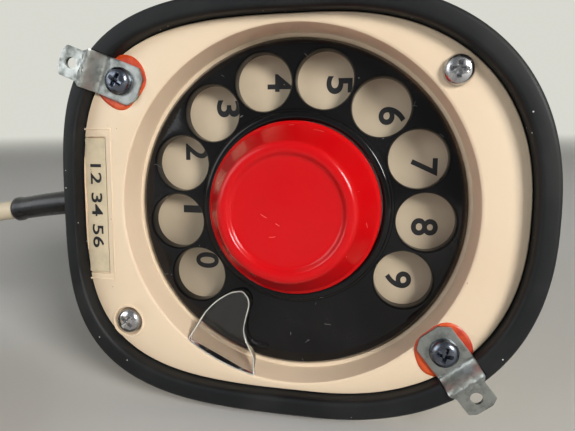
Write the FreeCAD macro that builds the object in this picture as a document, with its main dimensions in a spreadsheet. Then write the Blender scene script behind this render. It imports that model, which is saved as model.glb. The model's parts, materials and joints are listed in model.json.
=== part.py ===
import FreeCAD, Part
import math
import os
import re
import Sketcher

# A one-piece desk telephone: handset, dial and hook switch in one tall body. The dial and the
# hook button are in its base. It is built upright, with the sole of the rubber ring at height 0
# and the dial's axis on Z, X to the front, and is then laid on its side, base towards -Y.
# Lengths are in millimetres and angles in degrees.

os.makedirs("parts", exist_ok=True)
Vector = FreeCAD.Vector
doc = FreeCAD.newDocument("telephone")

# Each station is one level cross-section of the body: its height, its reach to the rear, front
# and side, where along X it is widest, and how square its front and rear halves are (2 is oval).
stationFields = ("Height", "Rear", "Front", "Side", "Widest", "FrontPower", "RearPower")
stations = {
    "sole": (5, 54.3, 55.4, 47.5, 4.5, 2.37, 3.3),
    "foot": (16, 55.2, 56.4, 48.3, 4.5, 2.37, 3.2),
    "hip": (36, 52.5, 54.5, 46.5, 4.0, 2.35, 3.0),
    "waist": (62, 44.5, 44.5, 39.5, 2.0, 2.3, 2.6),
    "back": (92, 34, 28.5, 30, -2.0, 2.2, 2.3),
    "neck": (122, 26.5, 17.5, 24, -4.5, 2.1, 2.2),
    "throat": (147, 23, 14.5, 22.8, -4.5, 2.1, 2.2),
    "chin": (169, 21, 22.5, 27, 0.0, 2.1, 2.2),
    "cheek": (185, 20, 35, 31.5, 5.0, 2.15, 2.2),
    "brow": (203, 18, 39.8, 33.8, 8.0, 2.15, 2.2),
    "crown": (219, 12.5, 37.5, 30, 10.0, 2.1, 2.2),
    "dome": (230, 3, 29.5, 20.5, 12.0, 2.1, 2.1),
    "top": (235, -8, 16.5, 5, 12.3, 2.0, 2.0),
}

sizes = {
    "wall": 2.6,
    "ringWidth": 4.5, "ringHeight": 5.0, "ringChamfer": 0.8, "ringSpigot": 1.8,
    "plateFace": 3.5, "plateThickness": 2.5, "plateGap": 0.15,
    "wellRadius": 40.5, "wellWall": 2.4, "wellFloor": 16.1, "wellFloorThickness": 1.1,
    "wellFloorRadius": 30.0,
    "bossRadius": 5.0, "bossTop": 20.0, "ribLength": 5.0, "ribThickness": 2.4,
    "ribFrontTurn": 50.9, "ribRearTurn": 142.0, "screwFrontX": 34.7, "screwFrontY": 30.0,
    "screwRearX": 40.6, "screwRearY": 29.0, "screwHead": 3.2, "screwHeadHeight": 2.2,
    "screwShank": 1.85, "screwHole": 1.9, "screwLength": 14.0, "screwSlot": 0.9,
    "screwSlotDepth": 1.2,
    "waxRadius": 5.8, "waxDepth": 1.0, "waxGap": 0.1,
    "bracketThickness": 0.8, "bracketFootWidth": 9.0, "bracketTabWidth": 7.0,
    "bracketFootLength": 5.4, "bracketFlat": 4.6, "bracketStep": 2.8, "bracketTabLength": 6.0,
    "bracketHoleAt": 10.3, "bracketHole": 1.3, "bracketOver": 0.3, "bracketRearTurn": -158.7,
    "bracketFrontTurn": 50.9, "bracketNeck": 0.8,
    "cardLength": 33.0, "cardWidth": 5.2, "cardThickness": 0.3, "cardX": 47.4, "cardPocket": 0.5,
    "cardMargin": 0.3,
    "wheelFace": 10.3, "wheelThickness": 3.2, "wheelRadius": 39.0, "wheelEdge": 0.8,
    "wheelBore": 21.5, "rimInner": 36.2, "webGap": 0.2, "webThickness": 1.2, "webRadius": 23.2,
    "holeRadius": 6.7, "holeCircle": 30.45, "holeStart": 144.1, "holeStep": 27.6,
    "collarInner": 20.6, "collarOuter": 22.6, "collarRise": 1.1, "collarEdge": 0.4,
    "numberPlateThickness": 0.8, "numberPlateBore": 23.7,
    "numberPlateMargin": 0.3,
    "stopTipRadius": 25.6, "stopTipAngle": 122.6, "stopRadius": 40.2, "stopFirstAngle": 101.7,
    "stopLastAngle": 128.8, "stopHollowRadius": 33.8, "stopHollowAngle": 109.5,
    "stopThickness": 1.8, "stopGap": 0.9, "stopLeg": 1.3,
    "shaftRadius": 6.0, "shaftBore": 3.95, "shaftFlange": 10.0, "shaftFlangeThickness": 1.4,
    "shaftEnd": 36.6, "runningGap": 0.05, "openGap": 0.3,
    "frameRadius": 38.0, "frameThickness": 2.0, "frameBoss": 10.0, "frameBossTop": 23.6,
    "postRadius": 2.2, "postCircle": 28.0, "bridgeFace": 33.6, "bridgeThickness": 1.6,
    "bridgeRadius": 31.0, "dialScrewCircle": 35.0, "dialScrewRadius": 1.2,
    "dialScrewHead": 2.2, "dialScrewHeadHeight": 1.2,
    "gearFace": 24.4, "gearThickness": 2.0, "gearTip": 20.2, "gearRoot": 18.9, "gearTeeth": 60,
    "springFace": 27.4, "springHeight": 5.0, "springStrip": 0.5, "springPitch": 1.6,
    "springTurns": 5.5,
    "pinionTip": 4.0, "pinionRoot": 2.7, "pinionTeeth": 12, "pulseTurn": 210.0,
    "spindleRadius": 1.2, "camRadius": 5.5, "camFace": 29.6, "camThickness": 1.6,
    "wormWheelRadius": 5.0, "wormWheelThickness": 2.0, "governorRise": 28.0, "wormRadius": 2.0,
    "wormLength": 9.0, "governorSpindle": 0.8, "governorStart": 10.0, "governorEnd": 30.0,
    "governorMargin": 0.5, "wormEarGap": 2.0, "earThickness": 1.4, "earWidth": 4.0,
    "drumRadius": 6.0, "drumWall": 0.8, "drumDepth": 6.0, "drumGap": 1.0, "weightReach": 4.9,
    "weightGap": 0.5,
    "weightThickness": 1.4, "weightLength": 3.6,
    "buttonTop": 2.7, "buttonDish": 1.0, "dishRadius": 12.0, "shoulderRadius": 15.4,
    "skirtRadius": 20.25, "skirtStart": 6.6, "skirtEnd": 9.9, "buttonWall": 2.0,
    "buttonBoss": 5.4, "buttonBossEnd": 6.0, "plungerRadius": 3.9, "plungerEnd": 44.0,
    "clipRadius": 6.5, "clipThickness": 0.8, "coilWire": 1.0, "coilRadius": 8.4, "coilPitch": 2.4,
    "coilSteps": 24,
    "leverRise": 0.3, "leverThickness": 1.6, "leverWidth": 6.0, "leverPivot": 16.0,
    "leverFront": 5.0, "leverTail": 12.0, "leverBore": 1.05, "leverPin": 1.0, "leverStud": 1.5,
    "leverStudLength": 1.9, "leverStudAt": 4.0, "leverHubWall": 0.4, "earGap": 0.3,
    "leverEar": 1.2, "leverEarWidth": 4.4,
    "contactWidth": 5.0, "contactLength": 11.0, "contactLeaf": 0.4, "contactPitch": 2.0,
    "contactRise": 2.4, "stackLength": 7.0, "stackHeight": 7.0, "stackX": 23.0,
    "chassisX": 8.0, "chassisThickness": 1.6, "chassisWidth": 44.0, "chassisLow": 50.0,
    "chassisHigh": 92.0, "chassisLegY": 14.0, "chassisLegWidth": 8.0, "chassisFoot": 8.0,
    "coreDepth": 8.0, "coreWidth": 28.0, "coreHeight": 24.0, "coreLow": 64.0, "coreLimb": 5.0,
    "windingRadius": 6.2,
    "capacitorRadius": 7.0, "capacitorHeight": 26.0, "capacitorLow": 62.0, "capacitorY": 12.0,
    "capacitorStrap": 0.9, "strapHeight": 8.0,
    "blockDepth": 8.0, "blockWidth": 20.0, "blockHeight": 11.5, "blockLow": 51.5,
    "terminalHead": 2.0, "terminalHeadHeight": 1.4, "terminalPitch": 4.6,
    "mouthX": 32.0, "mouthHeight": 44.0, "mouthRadius": 14.0, "mouthThickness": 10.0,
    "mouthGasket": 2.6, "cradleWidth": 16.0, "cradleDepth": 5.0, "mouthSlots": 5,
    "mouthSlotWidth": 2.4, "mouthSlotPitch": 5.0, "mouthSlotLow": 37.0, "mouthSlotHeight": 15.0,
    "earX": 36.0, "earHeight": 202.5, "earTilt": 5.0, "receiverRadius": 14.8,
    "receiverThickness": 12.0, "earGasket": 4.0, "earGasketThickness": 1.5, "cupWall": 1.2,
    "earHole": 1.2, "earInnerCircle": 5.0, "earOuterCircle": 10.0,
    "leadRadius": 1.3,
    "sleeveHeight": 13.0, "sleeveRadius": 3.3, "sleeveTip": 2.9, "sleeveLength": 24.0,
    "sleeveDrop": 7.0, "sleeveCollar": 5.0, "sleeveCollarThickness": 2.0, "clampLength": 5.0,
    "clampWidth": 14.0, "clampHeight": 11.0,
    "cordRadius": 2.5, "cordStraight": 14.0,
    "coilOuter": 36.2, "coilInner": 20.0, "coilHeight": 15.0, "coilEdge": 2.0,
    "coilCentreX": -104.0, "coilCentreY": -150.0, "plugAside": 24.5, "plugBody": 16.0,
    "plugWidth": 12.0, "plugHeight": 8.0, "plugHandle": 10.0, "plugHandleRadius": 3.6,
    "plugGripWall": 0.6,
    "pinRadius": 1.2, "pinReach": 9.0, "pinPitch": 3.6,
    "layTilt": 4.53,
}
for station, figures in stations.items():
    for field, figure in zip(stationFields, figures):
        sizes[station + field] = figure

sheet = doc.addObject("Spreadsheet::Sheet", "sizes")
for row, (alias, figure) in enumerate(sizes.items(), start=1):
    sheet.set("A%d" % row, alias)
    sheet.set("B%d" % row, str(figure))
    sheet.setAlias("B%d" % row, alias)
doc.recompute()

nodes = []
homes = {}


def size(alias):
    return float(sheet.get(alias))


def bound(text):
    """The same sum written for FreeCAD, with each size named through the sheet."""
    return re.sub(r"[A-Za-z]\w*", lambda word: "sizes." + word.group(), str(text))


def amount(text):
    """The number that a sum of sizes, such as "wheelFace + 2 * wall", comes to."""
    total = 0.0
    for sign, term in re.findall(r"([-+]?)\s*([^-+]+)", str(text)):
        product = 1.0
        for action, word in re.findall(r"([*/]?)\s*([\w.]+)", term):
            number = size(word) if word in sizes else float(word)
            product = product / number if action == "/" else product * number
        total += -product if sign == "-" else product
    return total


def add(kind, name, **properties):
    thing = doc.addObject(kind, name)
    for field, text in properties.items():
        thing.setExpression(field, bound(text))
    return thing


def place(thing, at, axis=None, turn="0"):
    """Puts a primitive at sums of sizes, turned about an axis of its own first corner."""
    if axis:
        thing.Placement = FreeCAD.Placement(Vector(), FreeCAD.Rotation(Vector(*axis), amount(turn)))
        thing.setExpression("Placement.Rotation.Angle", "(%s) * 1 deg" % bound(turn))
    for letter, text in zip("xyz", at):
        thing.setExpression("Placement.Base." + letter, "(%s) * 1 mm" % bound(text))
    return thing


def cylinder(name, radius, height, at, axis=None, turn="0"):
    return place(add("Part::Cylinder", name, Radius=radius, Height=height), at, axis, turn)


def box(name, length, width, height, at, axis=None, turn="0"):
    solid = add("Part::Box", name, Length=length, Width=width, Height=height)
    return place(solid, at, axis, turn)


def fuse(name, solids):
    whole = doc.addObject("Part::MultiFuse", name)
    whole.Shapes = solids
    return whole


def group(name, solids):
    whole = doc.addObject("Part::Compound", name)
    whole.Links = solids
    return whole


def cut(name, base, tools):
    whole = doc.addObject("Part::Cut", name)
    whole.Base = base
    whole.Tool = tools[0] if len(tools) == 1 else group(name + "Tools", tools)
    return whole


def plain(name, shape):
    solid = doc.addObject("Part::Feature", name)
    solid.Shape = shape
    return solid


def node(name, thing):
    """Marks a finished sub-part: its label is the name of its file."""
    if thing.TypeId in ("Part::Box", "Part::Cylinder"):
        thing = group(name, [thing])
    thing.Label = name
    nodes.append(thing)
    homes[name] = thing.Placement
    return thing


def turned(name, corners):
    """A body turned about Z from (radius, height) corners that follow the sheet."""
    body = doc.addObject("PartDesign::Body", name)
    plane = next(item for item in body.Origin.OriginFeatures if item.Role == "XZ_Plane")
    sketch = body.newObject("Sketcher::SketchObject", name + "Profile")
    sketch.AttachmentSupport = [(plane, "")]
    sketch.MapMode = "FlatFace"
    points = [Vector(amount(radius), amount(height), 0) for radius, height in corners]
    count = len(points)
    for index in range(count):
        sketch.addGeometry(Part.LineSegment(points[index], points[(index + 1) % count]), False)
    for index in range(count):
        follower = (index + 1) % count
        sketch.addConstraint(Sketcher.Constraint("Coincident", index, 2, follower, 1))
    for index, corner in enumerate(corners):
        for kind, text in zip(("DistanceX", "DistanceY"), corner):
            rule = Sketcher.Constraint(kind, -1, 1, index, 1, amount(text))
            number = sketch.addConstraint(rule)
            sketch.setExpression("Constraints[%d]" % number, bound(text))
    revolution = body.newObject("PartDesign::Revolution", name + "Turn")
    revolution.Profile = sketch
    revolution.ReferenceAxis = (sketch, ["V_Axis"])
    revolution.Angle = 360
    return body


def polar(radius, angle, height=0.0):
    return Vector(radius * math.cos(math.radians(angle)), radius * math.sin(math.radians(angle)), height)


def around(count, first, step):
    return [first + step * index for index in range(int(count))]


# ---- the body's outline --------------------------------------------------------------------

def oval(station, inset=0.0, height=None, shrink=1.0):
    """The body's cross-section at a station, drawn in by an inset, as a closed smooth wire."""
    rear, front, side, widest = [size(station + field) for field in stationFields[1:5]]
    powers = [size(station + field) for field in stationFields[5:]]
    level = size(station + "Height") if height is None else height
    points = []
    for angle in around(32, 0.0, 360.0 / 32):
        across, along = math.cos(math.radians(angle)), math.sin(math.radians(angle))
        reach = (front - widest if across > 0 else rear + widest) - inset
        power = powers[0] if across > 0 else powers[1]
        radius = (abs(across / reach) ** power + abs(along / (side - inset)) ** power) ** (-1 / power)
        radius *= shrink
        points.append(Vector(widest + radius * across, radius * along, level))
    curve = Part.BSplineCurve()
    curve.interpolate(Points=points, PeriodicFlag=True)
    return Part.Wire([curve.toShape()])


def ovalSlab(inset, low, high):
    return Part.Face(oval("sole", inset, low)).extrude(Vector(0, 0, high - low))


def earBlock(depth):
    """All that lies in front of the plane of the ear face, moved inwards by a depth."""
    block = Part.makeBox(60, 120, 120, Vector(0, -60, -60))
    block.Placement = FreeCAD.Placement(
        Vector(size("earX"), 0, size("earHeight")), FreeCAD.Rotation(Vector(0, 1, 0), size("earTilt"))
    ).multiply(FreeCAD.Placement(Vector(-depth, 0, 0), FreeCAD.Rotation()))
    return block


def room(inset):
    """The space inside the body, an inset away from its outer skin."""
    names = list(stations)[:-2]
    wires = [oval(name, inset) for name in names]
    wires.append(oval("dome", inset, size("domeHeight") + size("wall") - inset, 0.62))
    return Part.makeLoft(wires, True, False).cut(earBlock(inset))


skin = Part.makeLoft([oval(name) for name in stations], True, False).cut(earBlock(0))
hollow = room(size("wall"))

# ---- shell ---------------------------------------------------------------------------------

screwPlaces = [
    ("screwFrontX", "screwFrontY"), ("screwFrontX", "-screwFrontY"),
    ("-screwRearX", "screwRearY"), ("-screwRearX", "-screwRearY"),
]
frontBracketCorner, rearBracketCorner = 0, 3
bracketCorners = (frontBracketCorner, rearBracketCorner)
plainCorners = (1, 2)


def screwAt(index, height):
    return screwPlaces[index] + (height,)


bosses = [
    cylinder("boss", "bossRadius", "bossTop - plateFace - plateThickness",
             screwAt(index, "plateFace + plateThickness"))
    for index in range(4)
]
shellCuts = [
    cylinder("bossBore", "screwHole", "screwLength", screwAt(index, "plateFace"))
    for index in range(4)
]
for index in range(int(size("mouthSlots"))):
    offset = "%g * mouthSlotPitch - mouthSlotWidth / 2" % (index - (size("mouthSlots") - 1) / 2)
    shellCuts.append(box("mouthSlot", "40", "mouthSlotWidth", "mouthSlotHeight",
                         ("mouthX", offset, "mouthSlotLow")))
shellCuts.append(cylinder("wellRoom", "wellRadius + wellWall + openGap",
                          "wellFloor + wellFloorThickness + openGap", ("0", "0", "0")))
shellCuts.append(cylinder("sleeveHole", "sleeveRadius + 2 * openGap", "30",
                          ("20 - soleRear", "0", "sleeveHeight"), (0, 1, 0), "-90"))
earTurn = FreeCAD.Rotation(Vector(0, 1, 0), size("earTilt"))
earSpots = [Vector(0, 0, 0)]
earSpots += [polar(size("earInnerCircle"), angle) for angle in around(6, 0, 60)]
earSpots += [polar(size("earOuterCircle"), angle) for angle in around(12, 15, 30)]


def onEar(depth, spot=Vector(0, 0, 0)):
    """A point of the ear face, a depth inside it."""
    return Vector(size("earX"), 0, size("earHeight")) + earTurn.multVec(Vector(-depth, spot.x, spot.y))


earAxis = earTurn.multVec(Vector(1, 0, 0))
earHoles = Part.makeCompound([
    Part.makeCylinder(size("earHole"), 3 * size("wall"), onEar(2 * size("wall"), spot), earAxis)
    for spot in earSpots
])
shellBlank = plain("shellBlank", skin.cut(hollow))
ribs = []
for index, turn in enumerate(("ribFrontTurn", "-ribFrontTurn", "ribRearTurn", "-ribRearTurn")):
    along, across, low = screwAt(index, "ringHeight + ringSpigot + openGap")
    side = [math.cos(math.radians(amount(turn))), math.sin(math.radians(amount(turn)))]
    start = [size("bossRadius") - 1, -size("ribThickness") / 2]
    spot = [start[0] * side[0] - start[1] * side[1], start[0] * side[1] + start[1] * side[0]]
    ribs.append(box("bossRib", "ribLength", "ribThickness",
                    "bossTop - ringHeight - ringSpigot - openGap",
                    ("%s + %.6f" % (along, spot[0]), "%s + %.6f" % (across, spot[1]), low),
                    (0, 0, 1), turn))
shellWhole = fuse("shellWhole", [shellBlank] + bosses + ribs)
shell = node("shell", cut("shell", shellWhole, shellCuts + [plain("earHoles", earHoles)]))

# ---- base plate and rubber ring ------------------------------------------------------------

plateInset = size("ringWidth") + size("plateGap")
plateTop = size("plateFace") + size("plateThickness")
plateBlank = plain("plateBlank", ovalSlab(plateInset, size("plateFace"), plateTop).cut(
    Part.makeCylinder(size("wellRadius"), 20, Vector(0, 0, size("plateFace") - 1))))
well = turned("well", [
    ("wellRadius", "plateFace"), ("wellRadius + wellWall", "plateFace"),
    ("wellRadius + wellWall", "wellFloor + wellFloorThickness"),
    ("wellFloorRadius", "wellFloor + wellFloorThickness"),
    ("wellFloorRadius", "wellFloor"), ("wellRadius", "wellFloor"),
])
plateCuts = [
    cylinder("plateBore", "screwHole", "20", screwAt(index, "plateFace - 1")) for index in range(4)
]
for index in bracketCorners:
    plateCuts.append(cylinder("waxPocket", "waxRadius", "waxDepth + 1",
                              screwAt(index, "plateFace - 1")))
plateCuts.append(box("cardPocket", "cardWidth + 2 * cardMargin", "cardLength + 2 * cardMargin",
                     "cardPocket + 1",
                     ("-cardX - cardWidth / 2 - cardMargin", "-cardLength / 2 - cardMargin",
                      "plateFace - 1")))
postTurns = around(3, 30, 120)
for turn in postTurns:
    spot = polar(size("dialScrewCircle"), turn)
    plateCuts.append(cylinder("dialScrewBore", "dialScrewRadius + runningGap", "20",
                              ("%.6f" % spot.x, "%.6f" % spot.y, "wellFloor - 1")))
plateWhole = fuse("plateWhole", [plateBlank, well])
node("base_plate", cut("basePlate", plateWhole, plateCuts))
node("label_card", box("labelCard", "cardWidth", "cardLength", "cardThickness",
                       ("-cardX - cardWidth / 2", "-cardLength / 2",
                        "plateFace + cardPocket - cardThickness")))


def seal(index):
    disc = cylinder("waxDisc", "waxRadius - waxGap", "waxDepth", screwAt(index, "plateFace"))
    bore = cylinder("waxBore", "screwHole", "waxDepth + 2", screwAt(index, "plateFace - 1"))
    return cut("wax", disc, [bore])


node("sealing_wax", group("sealingWax", [seal(index) for index in bracketCorners]))


def panScrew(index, seat):
    """A pan-head screw whose head bears on a seat, with a cross recess."""
    head = cylinder("panHead", "screwHead", "screwHeadHeight", screwAt(index, seat + " - screwHeadHeight"))
    shank = cylinder("shank", "screwShank", "screwLength - 1", screwAt(index, seat))
    along, across, low = screwAt(index, seat + " - screwHeadHeight - 1")
    slots = []
    for length, width in (("screwHead", "screwSlot"), ("screwSlot", "screwHead")):
        slots.append(box("crossSlot", length, width, "screwSlotDepth + 1",
                         ("%s - %s / 2" % (along, length), "%s - %s / 2" % (across, width), low)))
    return cut("panScrew", fuse("screwBlank", [head, shank]), slots)


node("base_screws", group("baseScrews", [panScrew(index, "plateFace") for index in plainCorners]))
bracketSeat = "plateFace - bracketThickness"
node("bracket_screws", group("bracketScrews", [
    panScrew(index, bracketSeat) for index in bracketCorners]))


def onCorner(shape, index, turn):
    """Turns a shape that was made about the origin and moves it to a corner screw."""
    along, across = [amount(text) for text in screwAt(index, "0")[:2]]
    shape.rotate(Vector(0, 0, 0), Vector(0, 0, 1), turn)
    shape.translate(Vector(along, across, 0))
    return shape


def strip(side, width):
    corners = [Vector(along, -width / 2, level) for along, level in side]
    return Part.Face(Part.makePolygon(corners + corners[:1])).extrude(Vector(0, width, 0))


stripHigh, stripLow = size("plateFace"), -size("bracketOver")
bracketStepEnd = size("bracketFlat") + size("bracketStep")
bracketFrontTurn, bracketRearTurn = size("bracketFrontTurn"), size("bracketRearTurn")
bracketSpots = [(frontBracketCorner, bracketFrontTurn), (rearBracketCorner, bracketRearTurn)]


def bracket(index, turn):
    """A joggled steel strip: a foot under the screw, a step over the ring and a tab with a hole."""
    thick, flat = size("bracketThickness"), size("bracketFlat")
    end = size("bracketHoleAt") + size("bracketTabLength") / 2
    start = -size("bracketFootLength")
    side = [(start, stripHigh), (flat, stripHigh), (bracketStepEnd, stripLow), (end, stripLow),
            (end, stripLow - thick), (bracketStepEnd - thick / 2, stripLow - thick),
            (flat - thick / 2, stripHigh - thick), (start, stripHigh - thick)]
    foot, tab = size("bracketFootWidth") / 2, size("bracketTabWidth") / 2
    trim = [(start, 0.5 * foot), (start + 0.35 * foot, foot), (bracketStepEnd, foot),
            (bracketStepEnd + size("bracketNeck"), tab), (end - 0.35 * tab, tab), (end, 0.5 * tab)]
    trim += [(along, -across) for along, across in reversed(trim)]
    corners = [Vector(along, across, -10) for along, across in trim]
    plan = Part.Face(Part.makePolygon(corners + corners[:1])).extrude(Vector(0, 0, 20))
    tabHole = Part.makeCylinder(size("bracketHole"), 20, Vector(size("bracketHoleAt"), 0, -10))
    screwHole = Part.makeCylinder(size("screwHole"), 20, Vector(0, 0, -10))
    shape = strip(side, 30).common(plan).cut(tabHole).cut(screwHole)
    return onCorner(shape, index, turn)


def ringNotch(index, turn):
    """The room that the ring leaves for a bracket's step and for the wax under its foot."""
    gap = size("openGap")
    side = [(0, stripHigh + gap), (size("bracketFlat") + gap, stripHigh + gap),
            (bracketStepEnd + gap, stripLow + gap), (bracketStepEnd + gap, -10), (0, -10)]
    waxRoom = Part.makeCylinder(
        size("waxRadius") + gap, size("plateFace") + size("waxDepth") + gap + 1, Vector(0, 0, -1))
    return onCorner(strip(side, size("bracketFootWidth") + 2 * gap).fuse(waxRoom), index, turn)


node("bracket_front", plain("bracketFront", bracket(frontBracketCorner, bracketFrontTurn)))
node("bracket_rear", plain("bracketRear", bracket(rearBracketCorner, bracketRearTurn)))
ringEdge = Part.makeLoft([
    oval("sole", size("ringChamfer"), 0.0), oval("sole", 0.0, size("ringChamfer"))
], True, True)
ringBand = ringEdge.fuse(ovalSlab(0.0, size("ringChamfer"), size("ringHeight")))
ringSpigot = ovalSlab(size("wall") + size("plateGap"), size("ringHeight"),
                      size("ringHeight") + size("ringSpigot"))
ringOpening = ovalSlab(size("ringWidth"), -1.0, size("ringHeight") + size("ringSpigot") + 1.0)
cardNotch = Part.makeBox(
    size("cardWidth"), size("cardLength") + 4 * size("cardMargin"), 20,
    Vector(-size("cardX") - size("cardWidth") / 2 - 2 * size("cardMargin"),
           -size("cardLength") / 2 - 2 * size("cardMargin"), -1))
ringCuts = [ringOpening, cardNotch] + [ringNotch(index, turn) for index, turn in bracketSpots]
for index in range(4):
    along, across = [amount(text) for text in screwAt(index, "0")[:2]]
    ringCuts.append(Part.makeCylinder(size("bossRadius") + size("openGap"), 20,
                                      Vector(along, across, size("ringHeight"))))
node("rubber_ring", plain("rubberRing", ringBand.fuse(ringSpigot).cut(ringCuts).removeSplitter()))

# ---- dial ----------------------------------------------------------------------------------

wheelBack = "wheelFace + wheelThickness"
webFace = wheelBack + " + webGap"
webBack = webFace + " + webThickness"
wheelBlank = turned("wheelBlank", [
    ("wheelBore", "wheelFace"), ("rimInner", "wheelFace"), ("rimInner", wheelBack),
    ("wheelBore", wheelBack),
])
rimBlank = turned("rimBlank", [
    ("rimInner", "wheelFace"), ("wheelRadius - wheelEdge", "wheelFace"),
    ("wheelRadius", "wheelFace + wheelEdge"), ("wheelRadius", wheelBack + " - wheelEdge"),
    ("wheelRadius - wheelEdge", wheelBack), ("rimInner", wheelBack),
])


def roundTool(name, radius, circle, turn, low, height="20"):
    """A cylinder that stands on a circle about the dial's axis."""
    spot = polar(1.0, turn)
    at = tuple("%.9f * (%s)" % (part, circle) for part in (spot.x, spot.y))
    tool = add("Part::Cylinder", name, Radius=radius, Height=height)
    for letter, text in zip("xyz", at + (low,)):
        tool.setExpression("Placement.Base." + letter, "(%s) * 1 mm" % bound(text))
    return tool


def fingerHoles():
    return [
        roundTool("fingerHole", "holeRadius", "holeCircle", turn, "wheelFace - 1",
                  "wheelThickness + 2")
        for turn in around(10, size("holeStart"), size("holeStep"))
    ]


node("finger_wheel", cut("fingerWheel", wheelBlank, fingerHoles()))
node("wheel_rim", cut("wheelRim", rimBlank, fingerHoles()))
node("wheel_hub", turned("wheelHub", [
    ("shaftRadius", webFace), ("wheelBore", webFace), ("wheelBore", wheelBack),
    ("webRadius", wheelBack), ("webRadius", webBack), ("shaftRadius", webBack),
]))
collarFace = "wheelFace - collarRise"
node("wheel_collar", turned("wheelCollar", [
    ("collarInner", collarFace + " + collarEdge"), ("collarInner + collarEdge", collarFace),
    ("collarOuter - collarEdge", collarFace), ("collarOuter", collarFace + " + collarEdge"),
    ("collarOuter", "wheelFace"), ("wheelBore", "wheelFace"), ("wheelBore", webFace),
    ("collarInner", webFace),
]))
node("dial_shaft", turned("dialShaft", [
    ("shaftBore", webFace), ("shaftRadius", webFace), ("shaftRadius", webBack),
    ("shaftFlange", webBack), ("shaftFlange", webBack + " + shaftFlangeThickness"),
    ("shaftRadius", webBack + " + shaftFlangeThickness"), ("shaftRadius", "shaftEnd"),
    ("shaftBore", "shaftEnd"),
]))
node("number_plate", turned("numberPlate", [
    ("numberPlateBore", "wellFloor - numberPlateThickness"),
    ("wellRadius - numberPlateMargin", "wellFloor - numberPlateThickness"),
    ("wellRadius - numberPlateMargin", "wellFloor"), ("numberPlateBore", "wellFloor"),
]))


def fingerStop():
    """A clear fin over the wheel, on a leg that stands along the wall of the dial well."""
    low = size("wheelFace") - size("stopGap") - size("stopThickness")
    outer, inner = size("stopRadius"), size("stopRadius") - size("stopLeg")
    first, last = size("stopFirstAngle"), size("stopLastAngle")
    middle = (first + last) / 2
    tip = polar(size("stopTipRadius"), size("stopTipAngle"))
    hollowPoint = polar(size("stopHollowRadius"), size("stopHollowAngle"))
    fin = Part.Wire([
        Part.Arc(polar(outer, first), polar(outer, middle), polar(outer, last)).toShape(),
        Part.LineSegment(polar(outer, last), tip).toShape(),
        Part.Arc(tip, hollowPoint, polar(outer, first)).toShape(),
    ])
    leg = Part.Wire([
        Part.Arc(polar(outer, first), polar(outer, middle), polar(outer, last)).toShape(),
        Part.LineSegment(polar(outer, last), polar(inner, last)).toShape(),
        Part.Arc(polar(inner, last), polar(inner, middle), polar(inner, first)).toShape(),
        Part.LineSegment(polar(inner, first), polar(outer, first)).toShape(),
    ])
    legFoot = size("plateFace") + size("openGap")
    legBlock = Part.Face(leg).extrude(Vector(0, 0, low + size("stopThickness") - legFoot))
    legBlock.translate(Vector(0, 0, legFoot))
    finBlock = Part.Face(fin).extrude(Vector(0, 0, size("stopThickness")))
    finBlock.translate(Vector(0, 0, low))
    return finBlock.fuse(legBlock).removeSplitter()


node("finger_stop", plain("fingerStop", fingerStop()))

# ---- dial works ----------------------------------------------------------------------------

frameFace = "wellFloor + wellFloorThickness"
frameBack = frameFace + " + frameThickness"
bridgeBack = "bridgeFace + bridgeThickness"
bearing = "shaftRadius + runningGap"
pinionCircle = "gearTip + pinionTip + openGap"
frameDisc = turned("frameDisc", [
    (bearing, frameFace), ("frameRadius", frameFace), ("frameRadius", frameBack),
    ("frameBoss", frameBack), ("frameBoss", "frameBossTop"), (bearing, "frameBossTop"),
])
postLength = "bridgeFace - " + frameBack.replace(" + ", " - ")
posts = [
    roundTool("post", "postRadius", "postCircle", turn, frameBack, postLength)
    for turn in postTurns
]
frameCuts = [
    roundTool("frameScrewBore", "dialScrewRadius + runningGap", "dialScrewCircle", turn, "wellFloor")
    for turn in postTurns
]
frameCuts.append(roundTool("frameBearing", "spindleRadius + runningGap", pinionCircle,
                           size("pulseTurn"), "wellFloor", "10"))
node("dial_frame", cut("dialFrame", fuse("frameWhole", [frameDisc] + posts), frameCuts))
bridgeDisc = turned("bridgeDisc", [
    (bearing, "bridgeFace"), ("bridgeRadius", "bridgeFace"), ("bridgeRadius", bridgeBack),
    (bearing, bridgeBack),
])
node("dial_bridge", cut("dialBridge", bridgeDisc, [
    roundTool("bridgeBearing", "spindleRadius + runningGap", pinionCircle, size("pulseTurn"),
              "bridgeFace - 1", "10")]))
dialScrews = []
for turn in postTurns:
    screwParts = [
        roundTool("dialScrewShank", "dialScrewRadius", "dialScrewCircle", turn,
                  "wellFloor + openGap", "wellFloorThickness + frameThickness - openGap"),
        roundTool("dialScrewHead", "dialScrewHead", "dialScrewCircle", turn, frameBack,
                  "dialScrewHeadHeight"),
    ]
    dialScrews.append(fuse("dialScrew", screwParts))
node("dial_screws", group("dialScrews", dialScrews))


def gear(teeth, root, tip, low, thick, bore):
    """A spur gear with straight-sided teeth, on Z."""
    step = 360.0 / teeth
    corners = []
    for turn in around(teeth, 0, step):
        for part, radius in ((-0.30, root), (-0.13, tip), (0.13, tip), (0.30, root)):
            corners.append(polar(radius, turn + part * step, low))
    blank = Part.Face(Part.makePolygon(corners + corners[:1])).extrude(Vector(0, 0, thick))
    if bore:
        blank = blank.cut(Part.makeCylinder(bore, thick + 2, Vector(0, 0, low - 1)))
    return blank


node("main_gear", plain("mainGear", gear(
    int(size("gearTeeth")), size("gearRoot"), size("gearTip"), size("gearFace"),
    size("gearThickness"), size("shaftRadius"))))


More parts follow.
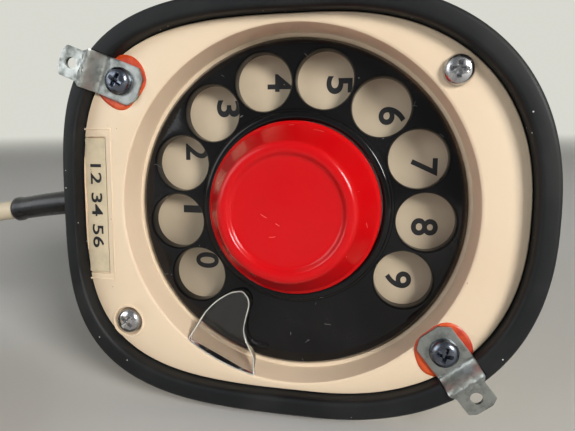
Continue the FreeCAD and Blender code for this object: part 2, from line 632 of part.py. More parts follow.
def mainspring():
    """A flat spiral strip wound round the dial shaft."""
    start = size("shaftRadius") + size("openGap")
    points = {"inner": [], "outer": []}
    for turn in around(size("springTurns") * 24 + 1, 0, 15):
        radius = start + size("springPitch") * turn / 360
        points["inner"].append(polar(radius, turn, size("springFace")))
        points["outer"].append(polar(radius + size("springStrip"), turn, size("springFace")))
    edges = []
    for side in points.values():
        curve = Part.BSplineCurve()
        curve.interpolate(side)
        edges.append(curve.toShape())
    for end in (0, -1):
        edges.append(Part.LineSegment(points["inner"][end], points["outer"][end]).toShape())
    outline = Part.Wire(Part.__sortEdges__(edges))
    return Part.Face(outline).extrude(Vector(0, 0, size("springHeight")))


node("mainspring", plain("mainSpring", mainspring()))

pulseCentre = polar(amount(pinionCircle), size("pulseTurn"))
pulseFoot = amount(frameBack) + size("openGap")
pulseHead = size("bridgeFace") - size("openGap")
spindleFoot = amount(frameFace) + size("openGap")
spindleHead = amount(bridgeBack) - size("openGap")
wormWheelFace = size("governorRise") - size("wormWheelThickness") / 2


def post(radius, low, high):
    return Part.makeCylinder(radius, high - low, Vector(0, 0, low))


pulseParts = [
    post(size("spindleRadius"), spindleFoot, spindleHead),
    post(size("postRadius"), pulseFoot, pulseHead),
    gear(int(size("pinionTeeth")), size("pinionRoot"), size("pinionTip"), size("gearFace"),
         size("gearThickness"), 0),
    post(size("camRadius"), size("camFace"), size("camFace") + size("camThickness")),
    post(size("wormWheelRadius"), wormWheelFace, wormWheelFace + size("wormWheelThickness")),
]
pulseShape = pulseParts[0].multiFuse(pulseParts[1:])
pulseShape.rotate(Vector(0, 0, 0), Vector(0, 0, 1), size("pulseTurn"))
pulseShape.translate(pulseCentre)
node("pulse_shaft", plain("pulseShaft", pulseShape))

governorCircle = amount(pinionCircle) + size("wormWheelRadius") + size("wormRadius") + size("openGap")
governorFoot = polar(governorCircle, size("pulseTurn"), size("governorRise"))
governorWay = polar(1.0, size("pulseTurn") + 90)
governorOut = polar(1.0, size("pulseTurn"))
upright = Vector(0, 0, 1)


def rod(radius, start, end):
    """A round bar along the governor's axis, between two distances from the worm's middle."""
    return Part.makeCylinder(radius, end - start, governorFoot + governorWay * start, governorWay)


def governorBlock(start, end, inner, outer, low, high):
    """A block in the governor's own directions: along its axis, outwards and up."""
    block = Part.makeBox(end - start, outer - inner, high - low, Vector(start, inner, low))
    block.Placement = FreeCAD.Placement(
        Vector(governorFoot.x, governorFoot.y, 0),
        FreeCAD.Rotation(governorWay, -governorOut, upright, "XYZ"))
    return block


node("governor_shaft", plain("governorShaft", rod(
    size("governorSpindle"), -size("governorStart"), size("governorEnd")).fuse(
        rod(size("wormRadius"), -size("wormLength") / 2, size("wormLength") / 2))))
drumEnd = size("governorEnd") - size("earThickness") - size("drumGap")
drumStart = drumEnd - size("drumDepth")
drumInner = size("drumRadius") - size("drumWall")
spindleBore = size("governorSpindle") + size("runningGap")
node("governor_drum", plain("governorDrum", rod(size("drumRadius"), drumStart, drumEnd).cut(
    rod(drumInner, drumStart - 1, drumEnd - size("drumWall"))).cut(
        rod(spindleBore, drumStart, drumEnd + 1))))
weightStart = drumStart + size("weightGap")
weights = []
for side in (1, -1):
    inner, outer = sorted((side * size("governorSpindle"), side * size("weightReach")))
    block = governorBlock(weightStart, weightStart + size("weightLength"), inner, outer,
                          size("governorRise") - size("weightThickness") / 2,
                          size("governorRise") + size("weightThickness") / 2)
    weights.append(block.cut(rod(size("governorSpindle"), drumStart, drumEnd)))
node("governor_weights", plain("governorWeights", Part.makeCompound(weights)))
earHalf = size("earWidth") / 2
earTop = size("governorRise") + earHalf
bracketLow = amount(frameBack)
standStart = size("governorMargin") - size("governorStart")
standEnd = size("governorEnd") - size("governorMargin")
governorParts = [governorBlock(standStart, standEnd, -earHalf, earHalf, bracketLow,
                               bracketLow + size("earThickness"))]
for start in (standStart, size("wormLength") + size("wormEarGap"), drumEnd):
    governorParts.append(governorBlock(start, start + size("earThickness"), -earHalf, earHalf,
                                       bracketLow, earTop))
governorStand = governorParts[0].multiFuse(governorParts[1:]).cut(
    rod(spindleBore, -size("governorStart") - 1, size("governorEnd") + 1))
node("governor_bracket", plain("governorBracket", governorStand.removeSplitter()))

leafX = pulseCentre.x - size("camRadius") - size("openGap")
pulseBlockY = pulseCentre.y + size("camRadius") + size("contactRise")
leafLow = size("camFace")
pulseContactParts = [Part.makeBox(
    size("stackLength") - 2, size("stackLength"), leafLow + size("camThickness") + 1 - bracketLow,
    Vector(leafX - 3.6, pulseBlockY, bracketLow))]
for offset in (0.0, -size("contactPitch") / 2 - size("contactLeaf")):
    reach = size("camRadius") + size("contactRise") if offset == 0.0 else size("contactRise")
    pulseContactParts.append(Part.makeBox(
        size("contactLeaf"), reach, size("camThickness"),
        Vector(leafX - size("contactLeaf") + offset, pulseBlockY - reach, leafLow)))
node("pulse_contacts", plain("pulseContacts", Part.makeCompound(pulseContactParts)))

# ---- hook button and hook switch -----------------------------------------------------------

rim = "-buttonTop"
node("hook_button", turned("hookButton", [
    ("0", "buttonDish - buttonTop"), ("dishRadius", "buttonDish - buttonTop"),
    ("dishRadius + buttonDish", rim), ("shoulderRadius - 1", rim),
    ("shoulderRadius", rim + " + 1"), ("skirtRadius - 0.8", "skirtStart - 0.6"),
    ("skirtRadius", "skirtStart"), ("skirtRadius", "skirtEnd"),
    ("skirtRadius - buttonWall", "skirtEnd"), ("skirtRadius - buttonWall", "skirtStart"),
    ("shoulderRadius - buttonWall", "buttonDish - buttonTop + buttonWall"),
    ("buttonBoss", "buttonDish - buttonTop + buttonWall"), ("buttonBoss", "buttonBossEnd"),
    ("plungerRadius", "buttonBossEnd"), ("plungerRadius", "buttonDish - buttonTop + buttonWall"),
    ("0", "buttonDish - buttonTop + buttonWall"),
]))
plungerFoot = "buttonDish - buttonTop + buttonWall"
node("button_plunger", cylinder("plunger", "plungerRadius",
                                "plungerEnd - buttonDish + buttonTop - buttonWall",
                                ("0", "0", plungerFoot)))
clipLow = "shaftEnd + openGap"
node("plunger_clip", turned("plungerClip", [
    ("plungerRadius", clipLow), ("clipRadius", clipLow), ("clipRadius", clipLow + " + clipThickness"),
    ("plungerRadius", clipLow + " + clipThickness"),
]))
coilLow = amount(plungerFoot) + size("openGap") + size("coilWire") / 2
coilHigh = amount(webFace) - size("openGap") - size("coilWire") / 2


def springLoop(share):
    """A section of the spring's wire, a share of the way from its low end to its high end."""
    level = coilLow + (coilHigh - coilLow) * share
    turn = 360 * (level - coilLow) / size("coilPitch")
    slope = size("coilPitch") / (2 * math.pi * size("coilRadius"))
    middle = polar(size("coilRadius"), turn, level)
    loop = Part.Circle(middle, polar(1.0, turn + 90, slope), size("coilWire") / 2)
    loop.XAxis = polar(1.0, turn)
    return Part.Wire([loop.toShape()])


coilCount = math.ceil((coilHigh - coilLow) / size("coilPitch") * size("coilSteps"))
coilShape = Part.makeLoft([springLoop(step / coilCount) for step in range(coilCount + 1)], True, True)
node("button_spring", plain("buttonSpring", coilShape))

leverFoot = size("plungerEnd") + size("leverRise")
leverTop = leverFoot + size("leverThickness")
leverHalf = size("leverWidth") / 2
leverMiddle = (leverFoot + leverTop) / 2
across = Vector(0, 1, 0)
leverBar = Part.makeBox(size("leverPivot") + size("leverTail") + size("leverFront"), size("leverWidth"),
                        size("leverThickness"),
                        Vector(-size("leverPivot") - size("leverTail"), -leverHalf, leverFoot))
leverHub = Part.makeCylinder(2 * size("leverPin") + size("leverHubWall"), size("leverWidth"),
                             Vector(-size("leverPivot"), -leverHalf, leverMiddle), across)
leverStud = post(size("leverStud"), leverFoot - size("leverStudLength"), leverFoot)
leverStud.translate(Vector(-size("leverPivot") - size("leverTail") + size("leverStudAt"), 0, 0))
leverHole = Part.makeCylinder(size("leverBore"), size("leverWidth") + 2,
                              Vector(-size("leverPivot"), -leverHalf - 1, leverMiddle), across)
node("hook_lever", plain("hookLever", leverBar.multiFuse([leverHub, leverStud]).cut(leverHole)))
pinHalf = leverHalf + size("earGap") + size("leverEar")
leverPin = Part.makeCylinder(size("leverPin"), 2 * pinHalf,
                             Vector(-size("leverPivot"), -pinHalf, leverMiddle), across)
node("lever_pin", plain("leverPin", leverPin))
deck = amount(bridgeBack)
leverEarStart = -size("leverPivot") - size("leverEarWidth") / 2
leverEars = [
    Part.makeBox(size("leverEarWidth"), size("leverEar"),
                 leverMiddle + size("leverEarWidth") / 2 - deck, Vector(leverEarStart, low, deck))
    for low in (leverHalf + size("earGap"), -pinHalf)
]
leverEars.append(Part.makeBox(size("leverEarWidth"), 2 * pinHalf, size("leverEar"),
                              Vector(leverEarStart, -pinHalf, deck)))
node("lever_bracket", plain("leverBracket", leverEars[0].multiFuse(leverEars[1:]).cut(leverPin)))
stackY = leverHalf + 3.0
stackParts = [Part.makeBox(size("contactWidth") + 1, size("stackLength"), size("stackHeight"),
                           Vector(-size("stackX") - size("contactWidth") / 2 - 1.5, stackY, deck))]
for level in (1, 2):
    stackParts.append(Part.makeBox(
        size("contactWidth"), size("contactLength"), size("contactLeaf"),
        Vector(-size("stackX") - size("contactWidth") / 2 - 1, stackY - size("contactLength"),
               deck + level * size("contactPitch"))))
node("hook_contacts", plain("hookContacts", Part.makeCompound(stackParts)))

# ---- chassis and what it carries -----------------------------------------------------------

plateX = size("chassisX")
plateBackX = plateX + size("chassisThickness")
halfWidth = size("chassisWidth") / 2
chassisParts = [Part.makeBox(size("chassisThickness"), size("chassisWidth"),
                             size("chassisHigh") - size("chassisLow"),
                             Vector(plateX, -halfWidth, size("chassisLow")))]
for low in (size("chassisLegY"), -size("chassisLegY") - size("chassisLegWidth")):
    chassisParts.append(Part.makeBox(size("chassisThickness"), size("chassisLegWidth"),
                                     size("chassisLow") - deck, Vector(plateX, low, deck)))
    chassisParts.append(Part.makeBox(size("chassisFoot"), size("chassisLegWidth"),
                                     size("chassisThickness"), Vector(plateX, low, deck)))
coreFoot, coreTop = size("coreLow"), size("coreLow") + size("coreHeight")
limb = size("coreLimb")
chassisWindow = Part.makeBox(10, 2 * size("windingRadius") + 1, coreTop - coreFoot - 2 * limb + 1,
                             Vector(plateX - 4, -size("windingRadius") - 0.5, coreFoot + limb - 0.5))
node("chassis", plain("chassisPlate", chassisParts[0].multiFuse(chassisParts[1:]).cut(
    chassisWindow).removeSplitter()))
coreX = plateX - size("coreDepth")
coreShape = Part.makeBox(size("coreDepth"), size("coreWidth"), size("coreHeight"),
                         Vector(coreX, -size("coreWidth") / 2, coreFoot))
windowWidth = (size("coreWidth") - 3 * limb) / 2
for low in (limb / 2, -limb / 2 - windowWidth):
    coreShape = coreShape.cut(Part.makeBox(size("coreDepth") + 2, windowWidth,
                                           coreTop - coreFoot - 2 * limb,
                                           Vector(coreX - 1, low, coreFoot + limb)))
node("coil_core", plain("coilCore", coreShape))
windingShape = post(size("windingRadius"), coreFoot + limb, coreTop - limb)
windingShape.translate(Vector(plateX - size("coreDepth") / 2, 0, 0))
node("coil_winding", plain("coilWinding", windingShape.cut(coreShape)))
capacitorX = plateBackX + size("capacitorRadius") + size("capacitorStrap")
capacitorShape = post(size("capacitorRadius"), size("capacitorLow"),
                      size("capacitorLow") + size("capacitorHeight"))
capacitorShape.translate(Vector(capacitorX, size("capacitorY"), 0))
node("capacitor", plain("capacitorCan", capacitorShape))
strapMiddle = size("capacitorLow") + size("capacitorHeight") / 2
strapShape = post(size("capacitorRadius") + size("capacitorStrap"),
                  strapMiddle - size("strapHeight") / 2, strapMiddle + size("strapHeight") / 2)
strapShape.translate(Vector(capacitorX, size("capacitorY"), 0))
strapTab = Part.makeBox(size("capacitorStrap"), size("capacitorRadius"), size("strapHeight"), Vector(
    plateBackX, size("capacitorY"), strapMiddle - size("strapHeight") / 2))
node("capacitor_clip", plain("capacitorClip", strapShape.fuse(strapTab).cut(capacitorShape)))
blockMiddleY = -size("blockWidth") / 2
node("terminal_block", box("terminalBlock", "blockDepth", "blockWidth", "blockHeight",
                           ("chassisX + chassisThickness", "-blockWidth", "blockLow")))
terminalScrews = []
for index in range(4):
    spotY = blockMiddleY + (index - 1.5) * size("terminalPitch")
    terminalScrews.append(Part.makeCylinder(
        size("terminalHead"), size("terminalHeadHeight"),
        Vector(plateBackX + size("blockDepth"), spotY, size("blockLow") + size("blockHeight") / 2),
        Vector(1, 0, 0)))
node("terminal_screws", plain("terminalScrews", Part.makeCompound(terminalScrews)))

# ---- speech parts --------------------------------------------------------------------------

forward = Vector(1, 0, 0)


def mouthDisc(radius, start, end):
    return Part.makeCylinder(radius, end - start, Vector(start, 0, size("mouthHeight")), forward)


mouthEnd = size("mouthX") + size("mouthThickness")
node("transmitter", cylinder("transmitterCapsule", "mouthRadius", "mouthThickness",
                             ("mouthX", "0", "mouthHeight"), (0, 1, 0), "90"))
gasketRing = mouthDisc(size("mouthRadius") - 0.5, mouthEnd, mouthEnd + 25).cut(
    mouthDisc(size("mouthRadius") - 0.5 - size("mouthGasket"), mouthEnd - 1, mouthEnd + 26))
node("transmitter_gasket", plain("transmitterGasket", gasketRing.common(
    room(size("wall") + size("openGap")))))
cradleShape = Part.makeBox(size("cradleDepth"), size("cradleWidth"), size("mouthHeight") - bracketLow,
                           Vector(size("mouthX"), -size("cradleWidth") / 2, bracketLow))
node("transmitter_cradle", plain("transmitterCradle", cradleShape.cut(
    mouthDisc(size("mouthRadius"), size("mouthX") - 1, mouthEnd))))


def earDisc(radius, start, end):
    """A disc inside the ear face, between two depths below it."""
    return Part.makeCylinder(radius, end - start, onEar(end), earAxis)


gasketEnd = size("wall") + size("earGasketThickness")
receiverEnd = gasketEnd + size("receiverThickness")
node("receiver_gasket", plain("receiverGasket", earDisc(
    size("receiverRadius"), size("wall"), gasketEnd).cut(earDisc(
        size("receiverRadius") - size("earGasket"), 0, gasketEnd + 1))))
node("receiver", plain("receiverCapsule", earDisc(size("receiverRadius"), gasketEnd, receiverEnd)))
node("receiver_cup", plain("receiverCup", earDisc(
    size("receiverRadius") + size("cupWall"), size("wall"), receiverEnd + size("cupWall")).cut(
        earDisc(size("receiverRadius"), size("wall") - 1, receiverEnd)).cut(
            earDisc(size("receiverRadius") / 2, receiverEnd - 1, receiverEnd + 5))))

# ---- wires and cord ------------------------------------------------------------------------


def roundedPath(name, points):
    """Straight runs joined by tangent arcs, each as large as its two runs allow."""
    runs = [(end - start).Length for start, end in zip(points, points[1:])]
    edges, radii, last = [], [], points[0]
    for index in range(1, len(points) - 1):
        before = (points[index - 1] - points[index]).normalize()
        after = (points[index + 1] - points[index]).normalize()
        half = (math.pi - before.getAngle(after)) / 2
        cutBack = 0.45 * min(runs[index - 1], runs[index])
        radii.append(cutBack / math.tan(half))
        start, end = points[index] + before * cutBack, points[index] + after * cutBack
        bisector = (before + after).normalize()
        middle = points[index] + bisector * (radii[-1] / math.cos(half) - radii[-1])
        edges.append(Part.LineSegment(last, start).toShape())
        edges.append(Part.Arc(start, middle, end).toShape())
        last = end
    edges.append(Part.LineSegment(last, points[-1]).toShape())
    path = Part.Wire(edges)
    print(name, "length %.1f" % path.Length, "radii", " ".join("%.1f" % radius for radius in radii))
    return path


def tube(name, points, radius):
    path = roundedPath(name, points)
    circle = Part.Wire([Part.makeCircle(radius, points[0], points[1] - points[0])])
    shape = path.makePipeShell([circle], True, True)
    share = shape.Volume / (math.pi * radius ** 2 * path.Length)
    print(name, "volume over section times length %.4f" % share)
    return shape


leadStart = Vector(plateBackX + 4, blockMiddleY, size("blockLow") + size("blockHeight"))
leadEnd = onEar(receiverEnd)
leadPoints = [leadStart, leadStart + Vector(0, 0, 14), Vector(12, -16, 92), Vector(1, -7, 112),
              Vector(-5, 0, 134), Vector(-5, 0, 156), Vector(0, 0, 176), onEar(receiverEnd + 14),
              leadEnd]
node("receiver_leads", plain("receiverLeads", tube("receiver_leads", leadPoints, size("leadRadius"))))

# The sleeve is held behind the wall by its collar and a clamp on the base plate. It points to
# the rear, and a little towards the side that the telephone lies on.
sleeveRoot = Vector(size("wall") - size("soleRear"), 0, size("sleeveHeight"))
sleeveSlope = math.radians(size("sleeveDrop"))
sleeveWay = Vector(-math.cos(sleeveSlope), math.sin(sleeveSlope), 0)
sleeveReach = size("sleeveLength") + size("wall")
sleeveTip = sleeveRoot + sleeveWay * sleeveReach
sleeveCone = Part.makeCone(size("sleeveRadius"), size("sleeveTip"), sleeveReach, sleeveRoot, sleeveWay)
sleeveCollar = Part.makeCylinder(size("sleeveCollar"), size("sleeveCollarThickness"), sleeveRoot, forward)
node("cord_sleeve", plain("cordSleeve", sleeveCone.fuse(sleeveCollar)))
node("cord_clamp", box("cordClamp", "clampLength", "clampWidth", "clampHeight",
                       ("wall - soleRear + sleeveCollarThickness", "-clampWidth / 2",
                        "plateFace + plateThickness")))

# ---- laid on its side ----------------------------------------------------------------------

layTurn = FreeCAD.Rotation(Vector(1, 0, 0), -90 - size("layTilt"))
bodyNodes = list(nodes)


def lay(shift):
    """Lays the body's sub-parts down with a shift, and gives the box that they fill, cord apart."""
    for thing in bodyNodes:
        thing.Placement = FreeCAD.Placement(shift, layTurn).multiply(homes[thing.Label])
    doc.recompute()
    reach = FreeCAD.BoundBox()
    for thing in bodyNodes:
        if thing.Label != "cord_sleeve":
            reach.add(thing.Shape.optimalBoundingBox(True, False))
    return reach


doc.recompute()
reach = lay(Vector(0, 0, 0))
shift = Vector(-reach.Center.x, -reach.Center.y, -reach.ZMin)
lay(shift)
laid = FreeCAD.Placement(shift, layTurn)

# The line cord leaves the sleeve, comes down to the floor and goes into a coil beside the base.
cordPoints = [
    laid.multVec(sleeveTip),
    laid.multVec(sleeveTip + sleeveWay * size("cordStraight")),
    Vector(-106.0, -107.0, 36.5),
    Vector(-118.0, -114.0, 25.5),
    Vector(-127.5, -124.0, 13.5),
    Vector(-134.0, -136.0, 5.5),
    Vector(-137.2, -150.0, 2.7),
]
node("line_cord", plain("lineCord", tube("line_cord", cordPoints, size("cordRadius"))))


def ringBlock(outer, inner, height, edge):
    """A ring that stands on the floor, with its four edges cut back."""
    side = [(inner, edge), (inner + edge, 0), (outer - edge, 0), (outer, edge),
            (outer, height - edge), (outer - edge, height), (inner + edge, height),
            (inner, height - edge)]
    corners = [Vector(radius, 0, level) for radius, level in side]
    return Part.Face(Part.makePolygon(corners + corners[:1])).revolve(Vector(0, 0, 0), upright, 360)


coilCentre = Vector(size("coilCentreX"), size("coilCentreY"), 0)
coilRing = plain("coilRing", ringBlock(size("coilOuter"), size("coilInner"), size("coilHeight"),
                                       size("coilEdge")))
coilRing.Placement = FreeCAD.Placement(coilCentre, FreeCAD.Rotation())
node("cord_coil", coilRing)
plugStart = Vector(size("coilCentreX"), size("coilCentreY") - size("plugAside"),
                   size("coilHeight") + size("plugHeight") / 2)
plugFace = plugStart + forward * (size("plugHandle") + size("plugBody"))
plugBlock = Part.makeBox(
    size("plugBody"), size("plugWidth"), size("plugHeight"),
    plugStart + Vector(size("plugHandle"), -size("plugWidth") / 2, -size("plugHeight") / 2))
plugGrip = Part.makeCone(size("cordRadius") + size("plugGripWall"), size("plugHandleRadius"),
                         size("plugHandle"), plugStart, forward)
node("line_plug", plain("linePlug", plugBlock.fuse(plugGrip)))
node("plug_pins", plain("plugPins", Part.makeCompound([
    Part.makeCylinder(size("pinRadius"), size("pinReach"),
                      plugFace + across * (step * size("pinPitch")), forward)
    for step in (-1, 0, 1)
])))
doc.recompute()

for thing in doc.Objects:
    if "Invalid" in thing.State or "Error" in thing.State:
        raise SystemExit("%s failed: %s" % (thing.Label, thing.State))
for thing in nodes:
    if thing.Shape.isNull() or not thing.Shape.isValid() or not thing.Shape.Solids:
        raise SystemExit("%s has no valid solid" % thing.Label)
for thing in nodes:
    thing.Shape.exportStep("parts/%s.step" % thing.Label)
print(len(nodes), "sub-parts")
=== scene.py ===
import json
import math
import random

import bmesh
import bpy
from mathutils import Matrix, Vector


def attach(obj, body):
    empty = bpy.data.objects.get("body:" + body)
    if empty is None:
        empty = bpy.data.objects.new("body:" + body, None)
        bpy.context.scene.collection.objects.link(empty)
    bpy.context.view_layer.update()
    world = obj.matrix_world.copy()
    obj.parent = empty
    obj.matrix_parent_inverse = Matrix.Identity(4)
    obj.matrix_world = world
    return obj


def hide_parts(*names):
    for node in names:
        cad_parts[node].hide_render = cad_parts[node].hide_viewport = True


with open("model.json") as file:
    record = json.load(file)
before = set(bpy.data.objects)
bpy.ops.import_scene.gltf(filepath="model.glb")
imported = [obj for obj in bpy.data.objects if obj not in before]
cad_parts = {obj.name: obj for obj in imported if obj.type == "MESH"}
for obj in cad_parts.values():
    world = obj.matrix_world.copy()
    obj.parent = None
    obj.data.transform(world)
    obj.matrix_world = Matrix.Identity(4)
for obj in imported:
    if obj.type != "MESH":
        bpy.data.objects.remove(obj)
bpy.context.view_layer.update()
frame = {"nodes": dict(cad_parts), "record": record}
mm = 0.001
random.seed(7)
print("frame loaded:", len(frame["nodes"]), "nodes")

# The pieces are made upright, dial axis on Z and sole at height 0, and then laid on their side
# as the frame lies. X is the front of the telephone, Y its left side.
dialHeight = 12
joints = frame["record"]["behaviour"]["joints"]
dialJoint = next(joint for joint in joints if joint["name"] == "dial_turn")
dialAxis = Vector(dialJoint["axis"])
dialPoint = Vector(dialJoint["pos_m"]) - dialAxis * dialHeight * mm
sideways = dialAxis.cross(Vector((1, 0, 0)))
layMatrix = Matrix((
    (1, sideways.x, dialAxis.x, dialPoint.x),
    (0, sideways.y, dialAxis.y, dialPoint.y),
    (0, sideways.z, dialAxis.z, dialPoint.z),
    (0, 0, 0, 1),
))


def polar(radius, angle, height=0.0):
    turn = math.radians(angle)
    return Vector((radius * math.cos(turn), radius * math.sin(turn), height)) * mm


def aroundTurn(count):
    return [2 * math.pi * index / count for index in range(count)]


def hoop(middle, side, rise, radius, count):
    return [middle + (side * math.cos(turn) + rise * math.sin(turn)) * radius
            for turn in aroundTurn(count)]


def letGo():
    if bpy.context.object and bpy.context.object.mode != "OBJECT":
        bpy.ops.object.mode_set(mode="OBJECT")
    bpy.ops.object.select_all(action="DESELECT")


def take(*things):
    letGo()
    for thing in things:
        thing.select_set(True)
    bpy.context.view_layer.objects.active = things[0]


def openMesh(piece, action="SELECT"):
    take(piece)
    bpy.ops.object.mode_set(mode="EDIT")
    bpy.ops.mesh.select_all(action=action)


def mergeNear():
    bpy.ops.mesh.remove_doubles(threshold=0.002 * mm)


def tidy(piece):
    openMesh(piece)
    mergeNear()
    bpy.ops.mesh.normals_make_consistent(inside=False)
    bpy.ops.object.mode_set(mode="OBJECT")
    return piece


# A profile of (radius, height) corners in millimetres, drawn corner by corner and spun about Z.
def turned(name, corners, steps, closed=True):
    letGo()
    bpy.ops.mesh.primitive_plane_add(size=mm)
    piece = bpy.context.object
    piece.name = name
    bpy.ops.object.mode_set(mode="EDIT")
    bpy.ops.mesh.select_all(action="SELECT")
    bpy.ops.mesh.merge(type="CENTER")
    start = Vector((corners[0][0], 0, corners[0][1])) * mm
    bpy.ops.transform.translate(value=start)
    last = start
    for radius, height in (*corners[1:], *(corners[:1] if closed else ())):
        corner = Vector((radius, 0, height)) * mm
        bpy.ops.mesh.extrude_region_move(TRANSFORM_OT_translate={"value": corner - last})
        last = corner
    bpy.ops.mesh.select_all(action="SELECT")
    bpy.ops.mesh.spin(steps=steps, angle=2 * math.pi, center=(0, 0, 0), axis=(0, 0, 1))
    bpy.ops.object.mode_set(mode="OBJECT")
    return tidy(piece)


# A skin over loops of points in millimetres: one circle, moved to the first loop and extruded on.
# A closed skin runs back to its first loop, and any other has both ends filled.
def skinned(name, loops, closed=False):
    letGo()
    bpy.ops.mesh.primitive_circle_add(vertices=len(loops[0]), radius=mm)
    piece = bpy.context.object
    piece.name = name
    bpy.ops.object.mode_set(mode="EDIT")
    mesh = bmesh.from_edit_mesh(piece.data)
    order = mesh.verts.layers.int.new("order")
    for index, corner in enumerate(mesh.verts):
        corner[order] = index
    bmesh.update_edit_mesh(piece.data)
    for number, loop in enumerate(loops + (loops[:1] if closed else [])):
        if number:
            bpy.ops.mesh.extrude_region_move()
        elif not closed:
            bpy.ops.mesh.edge_face_add()
            bpy.ops.mesh.select_all(action="SELECT")
        mesh = bmesh.from_edit_mesh(piece.data)
        order = mesh.verts.layers.int["order"]
        for corner in mesh.verts:
            if corner.select:
                corner.co = loop[corner[order]] * mm
        bmesh.update_edit_mesh(piece.data)
    bpy.ops.object.mode_set(mode="OBJECT")
    tidy(piece)
    if not closed:
        openMesh(piece, "DESELECT")
        bpy.ops.mesh.select_non_manifold()
        bpy.ops.mesh.edge_face_add()
        bpy.ops.object.mode_set(mode="OBJECT")
        tidy(piece)
    return piece


def carve(piece, cutter):
    take(piece)
    cut = piece.modifiers.new("cut", "BOOLEAN")
    cut.object = cutter
    cut.solver = "EXACT"
    bpy.ops.object.modifier_apply(modifier=cut.name)
    bpy.data.objects.remove(cutter)
    return piece


def joined(*things):
    take(*things)
    bpy.ops.object.join()
    return bpy.context.object


def twin(piece, name):
    take(piece)
    bpy.ops.object.duplicate()
    bpy.context.object.name = name
    return bpy.context.object


def soften(piece, width, limit):
    take(piece)
    edge = piece.modifiers.new("edge", "BEVEL")
    edge.width = width * mm
    edge.segments = 2
    edge.limit_method = "ANGLE"
    edge.angle_limit = math.radians(limit)
    bpy.ops.object.modifier_apply(modifier=edge.name)
    return piece


def settle(piece, matrix):
    bpy.context.view_layer.update()
    piece.matrix_world = matrix @ piece.matrix_world
    take(piece)
    bpy.ops.object.transform_apply(location=True, rotation=True, scale=True)
    return piece


def turnPlace(along, across, height=0.0, turn=0.0):
    spot = Matrix.Translation(Vector((along, across, height)) * mm)
    return spot @ Matrix.Rotation(math.radians(turn), 4, "Z")


def dress(piece, body, finish, nodes=(), angle=35, laid=True):
    if laid:
        settle(piece, layMatrix)
    take(piece)
    bpy.ops.object.shade_smooth_by_angle(angle=math.radians(angle))
    piece.data.materials.clear()
    piece.data.materials.append(finish)
    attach(piece, body)
    if nodes:
        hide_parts(*nodes)
    return piece


# The camera stands before the base, a little right of and above its middle, and looks down on it.
view = {"place": (19.067, -216.151, 70.457), "tilt": 78.32, "roll": 0.28, "turn": 10.99,
        "sensor": 36, "lensShare": 480 / 575, "shift": 0.5 / 575, "nearest": 5}
cameraData = bpy.data.cameras.new("camera")
camera = bpy.data.objects.new("camera", cameraData)
bpy.context.scene.collection.objects.link(camera)
bpy.context.scene.camera = camera
camera.location = Vector(view["place"]) * mm
camera.rotation_euler = [math.radians(view[angle]) for angle in ("tilt", "roll", "turn")]
cameraData.sensor_width = view["sensor"]
cameraData.lens = view["sensor"] * view["lensShare"]
cameraData.shift_x = view["shift"]
cameraData.shift_y = -view["shift"]
cameraData.clip_start = view["nearest"] * mm
bpy.context.scene.view_settings.view_transform = "Standard"

# The line cord: down from the sleeve to the table, round a neat coil and into its plug.
cordLine = {
    "radius": 2.5, "coilCentre": (-104.0, -150.0), "columns": (33.3, 28.0, 22.7),
    "layers": (2.6, 7.7, 12.8), "pointsPerTurn": 15, "shiftShare": 0.2,
    "sleeveTip": (-78.105, 3.242, 13.0), "slope": 7.0, "straight": 14.0,
    "leadTurns": (180, 204, 228, 250), "leadRun": 80, "leadSpread": 1.6,
    "plugAside": 24.5, "plugLevel": 19.0, "plugLead": 3.5,
    "route": ((-106.0, -107.0, 36.5), (-118.0, -114.0, 25.5), (-127.5, -124.0, 13.5),
              (-134.0, -136.0, 5.5)),
}


def smooth(share):
    share = min(1.0, max(0.0, share))
    return share * share * (3 - 2 * share)


def coilPoints():
    middle = cordLine["coilCentre"]
    turns = []
    for number, level in enumerate(cordLine["layers"]):
        order = cordLine["columns"] if number % 2 == 0 else tuple(reversed(cordLine["columns"]))
        turns += [(radius, level) for radius in order]
    points = []
    count = cordLine["pointsPerTurn"]
    for step in range(len(turns) * count):
        number, place = divmod(step, count)
        here = turns[number]
        after = turns[min(number + 1, len(turns) - 1)]
        share = smooth((place / count - 1 + cordLine["shiftShare"]) / cordLine["shiftShare"])
        radius = here[0] + (after[0] - here[0]) * share
        level = here[1] + (after[1] - here[1]) * share
        turn = math.pi + 2 * math.pi * step / count
        points.append(Vector((middle[0] + radius * math.cos(turn),
                              middle[1] + radius * math.sin(turn), level)))
    return points


def cordPoints():
    slope = math.radians(cordLine["slope"])
    tip = Vector(cordLine["sleeveTip"])
    away = tip + Vector((-math.cos(slope), math.sin(slope), 0)) * cordLine["straight"]
    points = [layMatrix @ (tip * mm) / mm, layMatrix @ (away * mm) / mm]
    points += [Vector(point) for point in cordLine["route"]] + coilPoints()
    middle, inner = cordLine["coilCentre"], cordLine["columns"][-1]
    top, level = cordLine["layers"][-1], cordLine["plugLevel"]
    for angle in cordLine["leadTurns"]:
        share = smooth((angle - cordLine["leadTurns"][0]) / cordLine["leadRun"])
        radius, turn = inner + cordLine["leadSpread"] * share, math.radians(angle)
        points.append(Vector((middle[0] + radius * math.cos(turn),
                              middle[1] + radius * math.sin(turn),
                              top + (level - top) * share)))
    plug = Vector((middle[0], middle[1] - cordLine["plugAside"], level))
    return points + [plug - Vector((cordLine["plugLead"], 0, 0)), plug]


